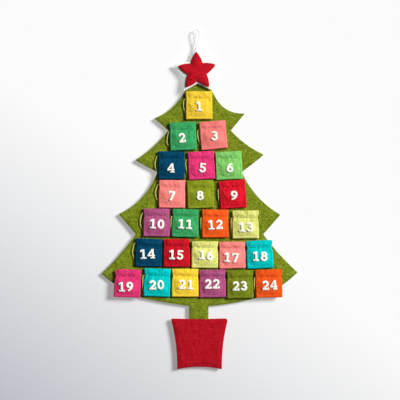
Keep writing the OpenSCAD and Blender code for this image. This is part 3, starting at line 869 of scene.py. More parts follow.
# Drawstring routes from the exit at the left seam, as the part has them, in millimetres
ROUTE_TAIL = [
    [11.7, 3, -41], [12, 3, -35], [12, 3, -29], [12, 3, -23], [12, 3, -17], [12, 2.8, -12],
    [12, 1.8, -7.5], [12, 0.5, -4]]
ROUTE_HIGH = [
    [4, 0, 0], [3.6, 0, 3.5], [2.4, 0, 6.8], [0.4, 0, 9], [-2.2, 0, 9.4], [-4.6, 0, 6.6],
    [-6.4, 0, 2.6], [-7.8, 0, -2], [-9, 0, -7.5], [-9.8, 0, -13.5], [-9.7, 0.3, -19.5],
    [-8.8, 0.9, -26], [-7.2, 1.8, -31.5], [-5.2, 2.6, -36], [-2.8, 3, -40], [0.5, 3, -43.6],
    [4.5, 3, -45.8], [10, 3, -45]]
ROUTE_LOW = [
    [4, 0, 0], [1, 0, -0.3], [-2, 0, -1.5], [-4.2, 0, -4.5], [-5.6, 0, -9], [-6.8, 0, -14],
    [-7.8, 0, -19], [-8.8, 0, -24], [-9.6, 0.2, -29], [-9.6, 0.8, -34], [-8.4, 1.8, -38.5],
    [-6, 2.6, -42.5], [-2.8, 3, -45.5], [1.5, 3, -47.3], [6.5, 3, -47.5], [10, 3, -45]]
ROUTE_MID = [
    [4, 0, 0], [1, 0, 0.6], [-2.2, 0, 0.6], [-5, 0, -0.6], [-6.8, 0, -3.6], [-7.4, 0, -8.5],
    [-7.6, 0, -14], [-7.4, 0, -19.5], [-6.9, 0.2, -25], [-6.1, 0.8, -30.5], [-5, 1.8, -35.5],
    [-3.6, 2.6, -39.5], [-1.2, 3, -43], [2.5, 3, -45.8], [6.5, 3, -46.6], [10, 3, -45]]
ROUTE_SLIM = [
    [4, 0, 0], [1.4, 0, 0.2], [-1.2, -0.4, 0.2], [-3, -1, -1.4], [-4, -1.6, -5], [-4.3, -1.8, -10],
    [-4.3, -1.8, -15], [-4.3, -1.6, -20], [-4.3, -1, -25], [-4.4, 0, -30], [-4.2, 1.2, -35],
    [-3.6, 2.4, -39], [-2.4, 3, -42.2], [0, 3, -44.8], [3.5, 3, -46.6], [7, 3, -47], [10.5, 3, -45]]
ROUTE_TIGHT = [
    [4, 0, 0], [1.5, 0, -0.5], [-0.3, 0.4, -3], [-1.2, 1.4, -7], [-1.8, 2.4, -12], [-2, 3, -17],
    [-2, 3, -22], [-2, 3, -27], [-1.8, 3, -32], [-1, 3, -37], [1, 3, -42], [4, 3, -46],
    [7.5, 3, -47], [10.5, 3, -45]]
DRAWSTRINGS = {
    1: ROUTE_MID, 2: ROUTE_LOW, 3: ROUTE_MID, 4: ROUTE_HIGH, 5: ROUTE_MID, 7: ROUTE_HIGH,
    9: ROUTE_SLIM, 10: ROUTE_HIGH, 11: ROUTE_SLIM, 12: ROUTE_SLIM, 13: ROUTE_SLIM, 14: ROUTE_HIGH,
    16: ROUTE_TIGHT, 20: ROUTE_SLIM, 23: ROUTE_TIGHT, 24: ROUTE_SLIM}
ROUTE_DEPTH = 3
STRING_CLEARANCE = 0.3
LOOP_ROUTE = [
    [-3, 0, -76], [-3, 0, -68], [-3, 0, -60], [-2.5, 0, -52], [-2.5, 0, -45], [-3, 0, -38],
    [-4, 0, -31], [-5.5, 0, -24], [-7, 0, -17], [-8, 0, -10], [-7, 0, -4], [-4, 0, 0.2], [0, 0, 1.5],
    [4, 0, 0.2], [7, 0, -4], [8, 0, -10], [7, 0, -17], [5.5, 0, -24], [4, 0, -31], [3, 0, -38],
    [2.5, 0, -45], [2.5, 0, -52], [3, 0, -60], [3, 0, -68], [3, 0, -76]]


# Steps along the cords, in diameters
STRING_STEP, LOOP_STEP = 0.45, 0.3


def hung_cord(name, line, diameter, body, node):
    """Makes a twisted cord along a line in metres, which rides on a body and stands for a CAD node."""
    slot = NODE_SLOTS[node]
    cord = made_object(name, *twisted_cord(line, diameter), [cord_material(slot)])
    fitted(cord, body, slot, node)


class CALENDAR_OT_drawstrings(bpy.types.Operator):
    """Hangs a twisted drawstring at each pouch that shows one"""
    bl_idname = "calendar.drawstrings"
    bl_label = "Hang the drawstrings"

    def execute(self, context):
        diameter = mm("drawstring")
        depth = diameter / 2 + STRING_CLEARANCE - ROUTE_DEPTH
        exit_at = np.array([mm("neck_draw") - mm("pouch_w") / 2, depth, -mm("neck_drop")])
        for number, route in DRAWSTRINGS.items():
            pouch = f"pouch_{number:02d}"
            place = np.array(pouch_place(pouch))
            line = exit_at + smooth_path(route + ROUTE_TAIL, diameter * STRING_STEP)
            hung_cord(f"drawstring_cord_{number:02d}", placed(line, place, MM), diameter, pouch,
                      f"drawstring_{number:02d}")
        return {"FINISHED"}


class CALENDAR_OT_loop(bpy.types.Operator):
    """Makes the twisted cord loop that the calendar hangs from"""
    bl_idname = "calendar.loop"
    bl_label = "Tie the hanging loop"

    def execute(self, context):
        diameter = mm("loop")
        line = smooth_path(LOOP_ROUTE, diameter * LOOP_STEP)
        hung_cord("hanging_loop_cord", line, diameter, "tree", "hanging_loop")
        return {"FINISHED"}


# Panels of the tree, the star and the pot

def mid_depth(node):
    low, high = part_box(node)
    return (low.y + high.y) / 2 / MM


def hung_panel(name, node, panel, felt):
    """Makes a felt panel that stands for a CAD node and hangs on another piece."""
    piece = made_object(name, panel.points, panel.faces, [felt])
    fitted(piece, "tree", NODE_SLOTS[node], node)
    panel.flat_area()


def topstitch(name, slot, line, depth, tone, side=1):
    """Sews stitches round a piece, along [x, z] places at a depth, on its front or on its back."""
    run = stitches(raised(line, depth), (0, -side, 0), closed=True)
    fitted(made_object(name, *run, [slot_thread(slot, tone)]), "tree", slot)


# The tree's felt: mottle, tone and clouds
TREE_DYE = (3.2, 1.0, 0.12)
# Roundness of the tree's corners, spacing of its points at corners, on edges and inside, and its stitches
TREE_ROUND, TREE_CORNER_STEP, TREE_EDGE_STEP, TREE_SPACING = 2.4, 1.6, 6, 9
TREE_STITCH_IN, TREE_STITCH_STEP = 4, 3
# The panels draw together this close to their edge
PINCH_REACH = 6
# Reach and seed of the felt's waves, their height, and how it grows on the way to the branch tips
SLOW_WAVE, FINE_WAVE = (110, 3.7), (28, 8.2)
SLOW_HEIGHT, TIP_HEIGHT, FINE_HEIGHT = 0.3, 1.6, 0.15
TIP_REACH, TIP_START = 240, 0.25


def tree_shape(places):
    """How far the tree's felt moves to the wall at [x, z] places: nearly flat, with stray branch tips."""
    stray = smooth_step(np.abs(places[:, 0]) / TIP_REACH - TIP_START)
    slow, fine = wave(places, *SLOW_WAVE), wave(places, *FINE_WAVE)
    return slow * (SLOW_HEIGHT + TIP_HEIGHT * stray) + FINE_HEIGHT * fine


def pinched(distance):
    """How much of the gap between the tree's panels is closed at a distance from their edge."""
    return 1 - smooth_step(distance / PINCH_REACH)


class CALENDAR_OT_tree(bpy.types.Operator):
    """Cuts the tree's front and back from felt and sews their edges together"""
    bl_idname = "calendar.tree"
    bl_label = "Cut and sew the tree"

    def execute(self, context):
        felt = felt_material("tree_felt", *TREE_DYE)
        gap = abs(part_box("tree_back")[0].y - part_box("tree_front")[1].y) / MM
        for node, side in (("tree_front", 1), ("tree_back", -1)):
            cut = thinned(softened(flat_loops(node)[0], TREE_ROUND), TREE_CORNER_STEP)
            loop = refined(cut, TREE_EDGE_STEP)
            panel = Felt([loop], mm("tree_felt"), TREE_SPACING)
            places = panel.points[:, [0, 2]]
            middle = mid_depth(node)
            pinch = side * gap / 2 * pinched(from_edge(places, [loop]))
            panel.points[:, 1] += middle + pinch + tree_shape(places)
            hung_panel(f"{node}_felt", node, panel, felt)
            line = refined(inset(loop, TREE_STITCH_IN), TREE_STITCH_STEP)
            face = middle - side * mm("tree_felt") / 2 + side * gap / 2 * pinched(TREE_STITCH_IN)
            topstitch(f"{node}_topstitch", "tree_felt", line, face + tree_shape(line), TREE_THREAD, side)
        interlining = frame["nodes"]["tree_interlining"].data
        interlining.materials.clear()
        interlining.materials.append(felt_material("wadding"))
        return {"FINISHED"}


# Padding: its reach from the seam, the share of its rise before it is blown out, and how it is blown out
PAD_REACH, FIRST_RISE = 22, 0.86
PAD_PRESSURE, PAD_GROWTH = 1.2, 0.01
# A padded piece's seam has points this share of the net's spacing apart
SEAM_SHARE = 0.7
# Points nearer to that seam than the first can be grooved, and points further off than the second rise
ON_SEAM, OFF_SEAM = 0.3, 0.05
# A seam's groove fades out from the bottom, with this start and reach
GROOVE_START, GROOVE_REACH = 1.3, 25


def dome(distance, reach):
    """The rise of stuffing from its seam: steep at the seam and level past its reach."""
    t = np.clip(distance / reach, 0, 1)
    return np.sqrt(1 - (1 - t) ** 2)


def stuffed(outline, margin, edge, crown, spacing, groove=0.0):
    """A stuffed felt piece with a margin and a seam, grooved at the bottom: its Felt and its seam line.
    Its back is at y = 0."""
    seam = thinned(inset(outline, margin), spacing * SEAM_SHARE)
    piece = Felt([outline], edge, spacing, guides=[seam])
    places = piece.points[:, [0, 2]]
    bulge = np.zeros(len(places), bool)
    bulge[:piece.count] = inside(places[:piece.count], [seam])
    distance = from_edge(places, [seam])
    bulge &= distance > OFF_SEAM
    lift = (crown - edge) * FIRST_RISE * dome(distance, PAD_REACH) * bulge
    piece.points[:, 1] -= edge / 2 + lift
    on_seam = distance < ON_SEAM
    on_seam[piece.count:] = False
    up = places[on_seam, 1] - places[:, 1].min()
    piece.points[on_seam, 1] += groove * smooth_step(GROOVE_START - up / GROOVE_REACH)
    held = np.where(bulge, 0.0, 1.0)
    moved = swollen(piece.points, piece.faces, held, PAD_PRESSURE, PAD_GROWTH)
    moved[:, 1] = np.maximum(moved[:, 1], -crown)
    piece.points = moved
    return piece, seam


# The felts of the star and its backing: mottle and tone
STAR_DYE, BACKING_DYE = (1.0, 0.93), (0.3, 1.0)
# The star's edge and crown as shares of its depth in the part
STAR_EDGE, STAR_CROWN = 0.36, 0.62
STAR_ROUND, STAR_STEP, STAR_SPACING = 1.2, 1.1, 2.6
# The star's stitches: the step of their line, and how deep they sink into the felt
STAR_STITCH_STEP, STAR_STITCH_SUNK = 2, 0.1
BACKING_ROUND, BACKING_STEP, BACKING_SPACING = 3, 1.5, 5
BACKING_WAVE, BACKING_HEIGHT = (30, 5.1), 0.35
# How far the star's lower arms lean forward, and where below its top that starts
STAR_LEAN = 6.5
LEAN_REACH, LEAN_START = 45, 0.9


def star_lift(z):
    """How far the star stands off the tree at a height: its lower arms lean on the first pouch."""
    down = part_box("star_backing")[1].z / MM - z
    return STAR_LEAN * smooth_step(down / LEAN_REACH - LEAN_START)


class CALENDAR_OT_star(bpy.types.Operator):
    """Stuffs the red star and sews it on its pale backing"""
    bl_idname = "calendar.star"
    bl_label = "Stuff the star"

    def execute(self, context):
        low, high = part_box("star_front")
        base, crown = high.y / MM, (high.y - low.y) / MM
        outline = thinned(softened(flat_loops("star_front", front=False)[0], STAR_ROUND), STAR_STEP)
        edge = crown * STAR_EDGE
        piece, seam = stuffed(outline, mm("star_margin"), edge, crown * STAR_CROWN, STAR_SPACING)
        piece.points[:, 1] += base - star_lift(piece.points[:, 2])
        star = made_object("stuffed_star", piece.points, piece.faces, [felt_material("red_felt", *STAR_DYE)])
        fitted(star, "tree", "red_felt", "star_front", "star_wadding")
        line = refined(seam, STAR_STITCH_STEP)
        depth = base - edge + STAR_STITCH_SUNK - star_lift(line[:, 1])
        topstitch("star_topstitch", "red_felt", line, depth, RED_THREAD)
        self.backing()
        return {"FINISHED"}

    def backing(self):
        loop = thinned(softened(flat_loops("star_backing")[0], BACKING_ROUND), BACKING_STEP)
        panel = Felt([loop], mm("star_felt"), BACKING_SPACING)
        places = panel.points[:, [0, 2]]
        ripple = BACKING_HEIGHT * wave(places, *BACKING_WAVE)
        panel.points[:, 1] += mid_depth("star_backing") + ripple - star_lift(places[:, 1])
        felt = felt_material("cream_felt", *BACKING_DYE)
        hung_panel("star_backing_felt", "star_backing", panel, felt)


# The pot's felt: mottle and tone
POT_DYE = (1.4, 0.81)
# The pot's edge and crown as shares of its depth in the part
POT_EDGE, POT_CROWN = 0.45, 0.57
POT_ROUND, POT_STEP, POT_SPACING, POT_BACK_SPACING = 3, 1.6, 3.6, 9
POT_STITCH_STEP, POT_STITCH_SUNK = 3, 0.25
POT_BACK_WAVE, POT_BACK_HEIGHT = (40, 6.6), 0.3
SEAM_GROOVE = 1.4
# The worn corner: how much it is smoothed, and where that starts and fades out
WORN_PASSES, WORN_START, WORN_REACH = 60, 1.6, 10
# The bottom edge draws up this far over this share of its width, and the rim is wavy, both within this reach
BOW_RISE, BOW_SHARE = 2.4, 0.78
RIM_WAVE, RIM_HEIGHT = (24, 2.2), 0.7
POT_EDGE_REACH = 20
# Places of the dents in the pot, [x, z], and their depth and reach
DENTS = ((4, -827), (43, -834))
DENT_DEPTH, DENT_REACH = 1.5, 5


def pot_outline():
    """The pot's outline with a wavy rim, a worn upper right corner and a bottom edge that draws up."""
    loop = softened(flat_loops("pot_back")[0], POT_ROUND)
    low, high = loop.min(0), loop.max(0)
    near = smooth_step(WORN_START - np.linalg.norm(loop - high, axis=1) / WORN_REACH)
    loop = loop + (smoothed(loop, WORN_PASSES) - loop) * near[:, None]
    across = (loop[:, 0] - (low[0] + high[0]) / 2) / (high[0] - low[0]) * 2
    bow = BOW_RISE * np.clip(1 - (across / BOW_SHARE) ** 2, 0, 1)
    loop[:, 1] += bow * smooth_step(1 - (loop[:, 1] - low[1]) / POT_EDGE_REACH)
    rim = RIM_HEIGHT * wave(loop, *RIM_WAVE)
    loop[:, 1] += rim * smooth_step(1 - (high[1] - loop[:, 1]) / POT_EDGE_REACH)
    return thinned(loop, POT_STEP)


class CALENDAR_OT_pot(bpy.types.Operator):
    """Pads the pot, closes it with its back panel and sews round it"""
    bl_idname = "calendar.pot"
    bl_label = "Pad the pot"

    def execute(self, context):
        low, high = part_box("pot_front")
        base, crown = high.y / MM, (high.y - low.y) / MM
        outline = pot_outline()
        edge = crown * POT_EDGE
        piece, seam = stuffed(
            outline, mm("pot_margin"), edge, crown * POT_CROWN, POT_SPACING, SEAM_GROOVE)
        piece.points[:, 1] += base
        for dent in DENTS:
            off = np.linalg.norm(piece.points[:piece.count, [0, 2]] - dent, axis=1)
            piece.points[:piece.count, 1] += DENT_DEPTH * np.exp(-(off / DENT_REACH) ** 2)
        felt = felt_material("red_felt", *POT_DYE)
        pot = made_object("padded_pot", piece.points, piece.faces, [felt])
        fitted(pot, "tree", "red_felt", "pot_front", "pot_wadding")
        topstitch("pot_topstitch", "red_felt", refined(seam, POT_STITCH_STEP), base - edge + POT_STITCH_SUNK,
                  RED_THREAD)
        panel = Felt([outline], mm("pot_felt"), POT_BACK_SPACING)
        ripple = POT_BACK_HEIGHT * wave(panel.points[:, [0, 2]], *POT_BACK_WAVE)
        panel.points[:, 1] += mid_depth("pot_back") + ripple
        hung_panel("pot_back_felt", "pot_back", panel, felt)
        return {"FINISHED"}


# One pouch, about the middle of its mouth with its back at y = 0

CORNER = 2
# Steps of the felts' nets: across and down to the seam, and from the seam to the edge
FRONT_NET, BACK_NET = (28, 34, 3), (12, 13, 2)
# The front felt turns in at its edges: the bend's radius and angles, then the wall's steps, splay and foot
ROLL, ROLL_TURNS = 2.4, (30, 60, 90)
WALL_STEPS, WALL_SPLAY, WALL_FOOT = 2, 0.08, 0.2
# The soft cut edge stands out by this share of the felt's thickness
CUT_EDGE = 0.32
# Pouches with a slipped corner and with a settled mouth, where that starts and how it fades below the mouth
SLIPPED, SLIP_START, SLIP_REACH, SLIP_FADE = {19: 5.5}, 11.5, 3, 5
SETTLED, SETTLE_FADE = {16: 3.4, 17: 3.4, 22: 1}, 14
# Necks are drawn in by this share, and by another past this pouch, over this height and with some chance
DRAWN, DRAWN_TIGHT, LAST_LOOSE = 0.6, 0.8, 9
DRAWN_SPAN, DRAWN_CHANCE = 8, 0.5
# A tighter neck is this much shallower
TIGHT_DEPTH = 1.2
# The mouth's corners droop by this much and by chance, over this reach, and less below the mouth
DROOP, DROOP_CHANCE, DROOP_REACH, DROOP_FADE = 0.3, 0.9, 11, 7
# Hand-cut edges stray by this much, over this reach
STRAY, STRAY_REACH = 0.6, 34
# A point this near a line lies on it. The neck and the mouth are held within these heights
ON_LINE, NECK_HELD, MOUTH_HELD = 0.01, 1.2, 0.1
# The filling's pressure, the felt's growth and its weight, and how the pressure fades to neck and seam
FILL_PRESSURE, FILL_GROWTH, FILL_GRAVITY = 0.8, 0.012, 0.5
NECK_FADE, SEAM_FADE = 12, 16
# The front's profile: shares of the mouth's depth at its rim and at its fullest, and where that is
MOUTH_RIM, MOUTH_FULL, MOUTH_FULL_AT = 0.94, 1.04, 0.45
# Distances below the neck, twice, and above the seam, with shares of the belly's depth there
BELLY_TOP, BELLY_MIDDLE, BELLY_FOOT = (18, 0.74), (30, 0.75), (20, 0.69)
# The neck shows at the sides this far above and below it
NECK_SIDE = 9
# Gathers at the neck and creases all over: height and reach, and how the gathers are drawn out and fade
GATHER, GATHER_REACH, GATHER_LONG, GATHER_FADE = 0.6, 6.5, 6, 10
CREASE, CREASE_REACH, SOFT_REACH = 0.9, 26, 8
# The seam starts this far below the neck, has so many points a side and stands off the felt by this much
SEAM_START, SEAM_POINTS, SEAM_OFF = 4, 24, 0.05
# A ray starts this far forward, and tries again a little aside where it slips between faces
RAY_START, NUDGES = -60, (0.011, -0.013, 0.05)
# Tones of the pouches' felts: of all of them, and of single pouches that are made lighter or darker
POUCH_TONE = 1.1
TONES = {
    1: 0.95, 3: 0.95, 5: 1.03, 6: 1.07, 7: 1.04, 8: 1.1, 9: 1.17, 10: 1.08, 12: 1.04, 15: 0.95, 16: 1.04,
    17: 1.09, 19: 0.95, 22: 1.08, 23: 0.84, 24: 0.94}
# Felts whose dye is more even than the others'
MOTTLES = {"coral_felt": 1.0, "yellow_felt": 1.3, "orange_felt": 1.3, "magenta_felt": 1.5}


def eased(z, stops):
    """A value along z that eases from stop to stop. Stops are (z, value) from the mouth down."""
    made = np.full(z.shape, float(stops[-1][1]))
    for (z0, v0), (z1, v1) in zip(stops, stops[1:]):
        between = (z <= z0) & (z >= z1)
        made[between] = (v0 + (v1 - v0) * smooth_step((z0 - z) / (z0 - z1)))[between]
    return made


class Bag:
    """A sewn felt bag: a front panel that bellies out, a flat back panel, and its seam line."""

    def __init__(self, number):
        self.number, self.seed = number, number * 7.3
        self.tight = DRAWN_TIGHT if number > LAST_LOOSE else 0
        self.felt = mm("pouch_felt")
        self.half, self.deep, self.neck = mm("pouch_w") / 2, mm("pouch_h"), mm("neck_drop")
        self.seam_x, self.seam_z = self.half - mm("seam"), self.deep - mm("hem")
        self.front_solid = self.thick(self.sewn_front())
        self.back_solid = self.thick(self.flat_back())
        self.surface = BVHTree.FromPolygons([Vector(p) for p in self.front_solid[0]], self.front_solid[1])

    def warp(self, x, z):
        """Rounded corners, a drawn neck and hand-cut edges: where a flat [x, z] place goes."""
        left, down = self.half - CORNER, self.deep / 2 - CORNER
        middle = -self.deep / 2
        dx = np.maximum(np.abs(x) - left, 0)
        dz = np.maximum(np.abs(z - middle) - down, 0)
        both = np.hypot(dx, dz)
        shrink = np.where(both > 0, np.maximum(dx, dz) / np.maximum(both, 1e-9), 1)
        new_x = np.sign(x) * (np.abs(x) - dx + dx * shrink)
        new_z = middle + np.sign(z - middle) * (np.abs(z - middle) - dz + dz * shrink)
        waist = (DRAWN + self.tight) * mm("neck_draw") * np.exp(-((z + self.neck) / DRAWN_SPAN) ** 2)
        waist = waist * np.where(x < 0, *(1 + DRAWN_CHANCE * self.chance(k) for k in (1, 2)))
        new_x = new_x * (1 - waist / self.half)
        droop = np.where(x < 0, *(DROOP + DROOP_CHANCE * self.chance(k) for k in (3, 4)))
        near = smooth_step((np.abs(x) - self.half + DROOP_REACH) / DROOP_REACH)
        new_z = new_z - droop * near * np.exp(z / DROOP_FADE)
        slip = SLIPPED.get(self.number, 0) * smooth_step((-x - self.half + SLIP_START) / SLIP_REACH)
        new_z = new_z - slip * np.exp(np.minimum(z, 0) / SLIP_FADE)
        new_z = new_z - SETTLED.get(self.number, 0) * np.exp(np.minimum(z, 0) / SETTLE_FADE)
        stray = self.stray(x, z)
        return new_x + stray[0], new_z + stray[1]

    def chance(self, k):
        """A random number from about -1 to 1 that belongs to this pouch."""
        return 1.6 * noise.noise((self.seed * 1.37, k * 5.21, 0.5))

    def stray(self, x, z):
        flat = np.column_stack([np.ravel(x), np.ravel(z)])
        return [STRAY * wave(flat, STRAY_REACH, self.seed + k).reshape(np.shape(x)) for k in (0.3, 40.7)]

    def net(self, columns, rows, seam_steps, inset_by):
        """Flat places [x, z] of a panel that stays inside the pouch's edge."""
        edge_x, edge_z = self.half - inset_by, self.deep - inset_by
        side = np.linspace(edge_x, self.seam_x, seam_steps + 1)[:-1]
        xs = np.concatenate([-side, np.linspace(-self.seam_x, self.seam_x, columns + 1), side[::-1]])
        hem = np.linspace(-self.seam_z, -edge_z, seam_steps + 1)[1:]
        return xs, np.concatenate([np.linspace(0, -self.seam_z, rows + 1), hem])

    def sewn_front(self):
        """Middle of the front felt, gathered, filled and turned in at its edges, as rows of points."""
        half_felt = self.felt / 2
        splay = WALL_SPLAY * np.arange(1, WALL_STEPS + 1)
        xs, zs = self.net(*FRONT_NET, half_felt + ROLL + splay[-1])
        turns = np.radians(ROLL_TURNS)
        rounds = len(turns) + WALL_STEPS
        out = np.concatenate([[0], ROLL * np.sin(turns), ROLL + splay])
        sides = np.arange(rounds, 0, -1)
        all_xs = np.concatenate([xs[0] - out[sides], xs, xs[-1] + out[sides[::-1]]])
        all_zs = np.concatenate([zs, zs[-1] - out[sides[::-1]]])
        x, z = np.meshgrid(all_xs, all_zs)
        round_x = np.concatenate([sides, np.zeros(len(xs), int), sides[::-1]])
        round_z = np.concatenate([np.zeros(len(zs), int), sides[::-1]])
        step = np.maximum(*np.meshgrid(round_x, round_z))
        height = self.height(np.clip(x, xs[0], xs[-1]), np.maximum(z, zs[-1]))
        lower = np.concatenate([[0], ROLL * (1 - np.cos(turns)), np.full(WALL_STEPS, ROLL)])[step]
        down_wall = np.clip((step - len(turns)) / WALL_STEPS, 0, 1)
        depth = (height - lower) * (1 - down_wall) + (self.felt + WALL_FOOT) * down_wall
        new_x, new_z = self.warp(x, z)
        points = np.stack([new_x, -depth, new_z], axis=2)
        margin = (np.abs(x) > self.seam_x - ON_LINE) | (z < -self.seam_z + ON_LINE)
        held = np.where(margin | (np.abs(z + self.neck) < NECK_HELD) | (z > -MOUTH_HELD), 1.0, 0.0)
        pressed = smooth_step((-z - self.neck) / NECK_FADE)
        pressed = pressed * smooth_step((self.seam_x - np.abs(x)) / SEAM_FADE)
        pressed = pressed * smooth_step((self.seam_z + z) / SEAM_FADE)
        moved = swollen(points.reshape(-1, 3), self.quads(*x.shape), held.ravel(), FILL_PRESSURE, FILL_GROWTH,
                        FILL_GRAVITY, pressed.ravel())
        moved[:, 1] = np.clip(moved[:, 1], half_felt - mm("belly"), -self.felt)
        return moved.reshape(points.shape)

    def height(self, x, z):
        """How far the middle of the front felt stands off the back at flat [x, z] places."""
        neck, seam_z, deep = self.neck, self.seam_z, self.deep
        mouth, drawn, belly, edge = (mm(name) - self.felt / 2 for name in ("mouth", "neck", "belly", "edge"))
        drawn -= TIGHT_DEPTH * self.tight
        sides = eased(z, [
            (0, edge), (-neck + NECK_SIDE, edge), (-neck, drawn), (-neck - NECK_SIDE, edge), (-deep, edge)])
        front = eased(z, [
            (0, mouth * MOUTH_RIM), (-neck * MOUTH_FULL_AT, mouth * MOUTH_FULL), (-neck, drawn),
            (-neck - BELLY_TOP[0], belly * BELLY_TOP[1]), (-neck - BELLY_MIDDLE[0], belly * BELLY_MIDDLE[1]),
            (-seam_z + BELLY_FOOT[0], belly * BELLY_FOOT[1]), (-seam_z, edge), (-deep, edge)])
        inner = np.clip((self.seam_x - np.abs(x)) / SEAM_FADE, 0, 1)
        made = sides + (front - sides) * np.sin(inner * math.pi / 2)
        flat = np.column_stack([x.ravel(), z.ravel()])
        soft = np.clip((self.seam_x - np.abs(x)) / SOFT_REACH, 0, 1)
        soft = soft * np.clip((seam_z + z) / SOFT_REACH, 0, 1)
        gathers = wave(flat * (1, 1 / GATHER_LONG), GATHER_REACH, self.seed + 11).reshape(x.shape)
        made += GATHER * gathers * np.exp(-((z + neck) / GATHER_FADE) ** 2) * soft
        return made + CREASE * wave(flat, CREASE_REACH, self.seed + 23).reshape(x.shape) * soft

    def flat_back(self):
        x, z = np.meshgrid(*self.net(*BACK_NET, self.felt / 2))
        new_x, new_z = self.warp(x, z)
        return np.stack([new_x, np.full(x.shape, -self.felt / 2), new_z], axis=2)

    def on_front(self, x, z):
        """How far forward the front's face is at an [x, z] place."""
        for nudge in NUDGES:
            start = Vector((x + nudge, RAY_START, z + nudge / 3))
            hit = self.surface.ray_cast(start, Vector((0, 1, 0)))[0]
            if hit is not None:
                return hit.y
        raise RuntimeError("a place lies off its pouch")

    def quads(self, rows, columns):
        return [(r * columns + c, (r + 1) * columns + c, (r + 1) * columns + c + 1, r * columns + c + 1)
                for r in range(rows - 1) for c in range(columns - 1)]

    def thick(self, net):
        """A felt panel of real thickness with soft cut edges, from the rows of points down its middle."""
        rows, columns = net.shape[:2]
        down, right = np.gradient(net, axis=0), np.gradient(net, axis=1)
        out = np.cross(down, right)
        out /= np.linalg.norm(out, axis=2)[..., None]
        out[-1, 0], out[-1, -1] = out[-2, 1], out[-2, -2]
        front = (net + out * self.felt / 2).reshape(-1, 3)
        back = (net - out * self.felt / 2).reshape(-1, 3)
        border = [(0, c) for c in range(columns - 1)]
        border += [(r, columns - 1) for r in range(rows - 1)]
        border += [(rows - 1, c) for c in range(columns - 1, 0, -1)]
        border += [(r, 0) for r in range(rows - 1, 0, -1)]
        ring = [r * columns + c for r, c in border]
        middle = net.reshape(-1, 3)[ring]
        ways = np.roll(middle, -1, 0) - np.roll(middle, 1, 0)
        ways = np.cross(out.reshape(-1, 3)[ring], ways)
        ways /= np.linalg.norm(ways, axis=1)[:, None]
        if np.sum(ways * (middle - middle.mean(0))) < 0:
            ways = -ways
        rim = middle + ways * self.felt * CUT_EDGE
        n, total = len(front), 2 * len(front)
        quads = self.quads(rows, columns)
        faces = quads + [tuple(k + n for k in q[::-1]) for q in quads]
        for k in range(len(ring)):
            j = (k + 1) % len(ring)
            faces.append((ring[k], ring[j], total + j, total + k))
            faces.append((total + k, total + j, ring[j] + n, ring[k] + n))
        return np.vstack([front, back, rim]), faces

    def seam_line(self):
        """The topstitched line down the left side, along the bottom and up the right side."""
        x, z, top = self.seam_x, self.seam_z, -self.neck - SEAM_START
        turns = np.array([(-x, top), (-x, -z), (x, -z), (x, top)])
        line = np.vstack([a + (b - a) * t for a, b in zip(turns, turns[1:])
                          for t in np.linspace(0, 1, SEAM_POINTS)[:, None]])
        flat = np.column_stack(self.warp(line[:, 0], line[:, 1]))
        return np.array([(x, self.on_front(x, z) - SEAM_OFF, z) for x, z in flat])


# The bags that the pouches' operator made, which the numbers are laid on
BAGS = {}


class CALENDAR_OT_pouches(bpy.types.Operator):
    """Sews the pouches, with their seams and the thread tacks that hold them"""
    bl_idname = "calendar.pouches"
    bl_label = "Sew the pouches"

    def execute(self, context):
        tacks = []
        for number, pouch in enumerate(POUCHES, 1):
            place = pouch_place(pouch)
            slot = NODE_SLOTS[pouch]
            bag = BAGS[pouch] = Bag(number)
            points, faces = joined([bag.front_solid, bag.back_solid])
            felt = felt_material(slot, MOTTLES.get(slot, MOTTLE), POUCH_TONE * TONES.get(number, 1))
            piece = made_object(f"{pouch}_bag", points, faces, [felt], place)
            fitted(piece, pouch, slot, pouch)
            run = stitches(bag.seam_line(), (0, -1, 0))
            seam = made_object(f"{pouch}_seam", *run, [slot_thread(slot, POUCH_THREAD)], place)
            fitted(seam, pouch, slot)
            mm("pouch_w") * MM
            2 * mm("pouch_h") * MM
            tacks.append(self.tack(place, TACK_DROP + SETTLED.get(number, 0)))
        thread = made_object("pouch_tack_threads", *joined(tacks), [cord_material("tack_thread")])
        fitted(thread, "tree", "tack_thread", "pouch_tacks")
        return {"FINISHED"}

    def tack(self, place, drop):
        """A bar of wound thread between the tree and a pouch's top edge."""
        line = np.full((TACK_POINTS, 3), (0, TACK_BEHIND, -drop))
        line[:, 0] = np.linspace(-TACK_LENGTH / 2, TACK_LENGTH / 2, TACK_POINTS)
        points, faces = twisted_cord(line, 2 * TACK_RADIUS, TACK_PLIES, TACK_TURN)
        return placed(points, place, MM), faces


# The figures: roundness of their corners, steps of their outlines and nets, and how deep they sink in
FIGURE_ROUND, FIGURE_STEP, FIGURE_SPACING = 1.2, 0.75, 3
SUNK = 0.2
# The figures' felt: mottle and tone
FIGURE_DYE = (0.3, 1.06)


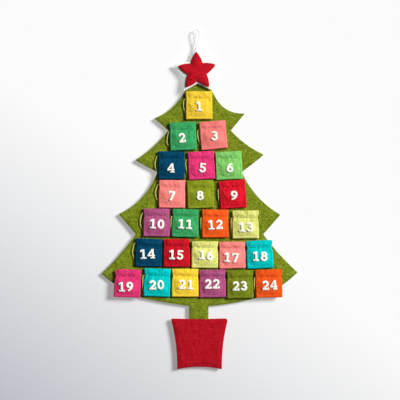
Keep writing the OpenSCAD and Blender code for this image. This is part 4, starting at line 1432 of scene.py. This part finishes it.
class CALENDAR_OT_numbers(bpy.types.Operator):
    """Cuts the felt figures and lays them on the pouches' fronts"""
    bl_idname = "calendar.numbers"
    bl_label = "Cut the numbers"

    def execute(self, context):
        for pouch in POUCHES:
            place = pouch_place(pouch)
            loops = []
            for loop in flat_loops(pouch):
                moved = placed(raised(loop, 0) * MM, place.inverted()) / MM
                loops.append(thinned(softened(moved[:, [0, 2]], FIGURE_ROUND), FIGURE_STEP))
            outer = [loop for loop in loops if area(loop) > 0]
            holes = [loop for loop in loops if area(loop) < 0]
            figures = [[loop] + [hole for hole in holes if inside(hole[:1], [loop])[0]] for loop in outer]
            felts = [Felt(figure, mm("figure_felt"), FIGURE_SPACING) for figure in figures]
            cut = [self.laid(felt, BAGS[pouch]) for felt in felts]
            piece = made_object(f"{pouch}_number", *joined([(f.points, f.faces) for f in cut]),
                                [felt_material("cream_felt", *FIGURE_DYE)], place)
            fitted(piece, pouch, "cream_felt")
            sum(f.flat_area() for f in cut)
        return {"FINISHED"}

    def laid(self, figure, bag):
        """A figure bent softly to the pouch's front."""
        x, z = figure.points[:, 0], figure.points[:, 2]
        depth = np.array([bag.on_front(*place) for place in zip(x, z)])
        terms = np.column_stack([np.ones(len(x)), x, z, x * x, z * z, x * z])
        bend = terms @ np.linalg.lstsq(terms, depth, rcond=None)[0]
        figure.points[:, 1] += bend - mm("figure_felt") / 2 + SUNK
        return figure


# Panel and add-on


class CALENDAR_PT_panel(bpy.types.Panel):
    """The calendar's makers and settings"""
    bl_idname = "CALENDAR_PT_panel"
    bl_label = "Felt calendar"
    bl_space_type = "VIEW_3D"
    bl_region_type = "UI"
    bl_category = "Calendar"

    def draw(self, context):
        for maker in MAKERS:
            self.layout.operator(maker.bl_idname)
        for group in ("calendar_sizes", "calendar_colours", "calendar_stage"):
            box = self.layout.box()
            owner = getattr(context.scene, group)
            for name in owner.bl_rna.properties.keys():
                if name not in ("rna_type", "name"):
                    box.prop(owner, name)


MAKERS = (
    CALENDAR_OT_stage, CALENDAR_OT_drawstrings, CALENDAR_OT_loop, CALENDAR_OT_tree, CALENDAR_OT_star,
    CALENDAR_OT_pot, CALENDAR_OT_pouches, CALENDAR_OT_numbers)
GROUPS = {
    "calendar_sizes": CalendarSizes, "calendar_colours": CalendarColours, "calendar_stage": CalendarStage}


def register():
    for made in (*GROUPS.values(), *MAKERS, CALENDAR_PT_panel):
        bpy.utils.register_class(made)
    for name, group in GROUPS.items():
        setattr(bpy.types.Scene, name, bpy.props.PointerProperty(type=group))


def unregister():
    for name in GROUPS:
        delattr(bpy.types.Scene, name)
    for made in reversed((*GROUPS.values(), *MAKERS, CALENDAR_PT_panel)):
        bpy.utils.unregister_class(made)


def main():
    register()
    bpy.ops.calendar.stage()
    bpy.ops.calendar.drawstrings()
    bpy.ops.calendar.loop()
    bpy.ops.calendar.tree()
    bpy.ops.calendar.star()
    bpy.ops.calendar.pot()
    bpy.ops.calendar.pouches()
    bpy.ops.calendar.numbers()


if __name__ == "__main__":
    main()
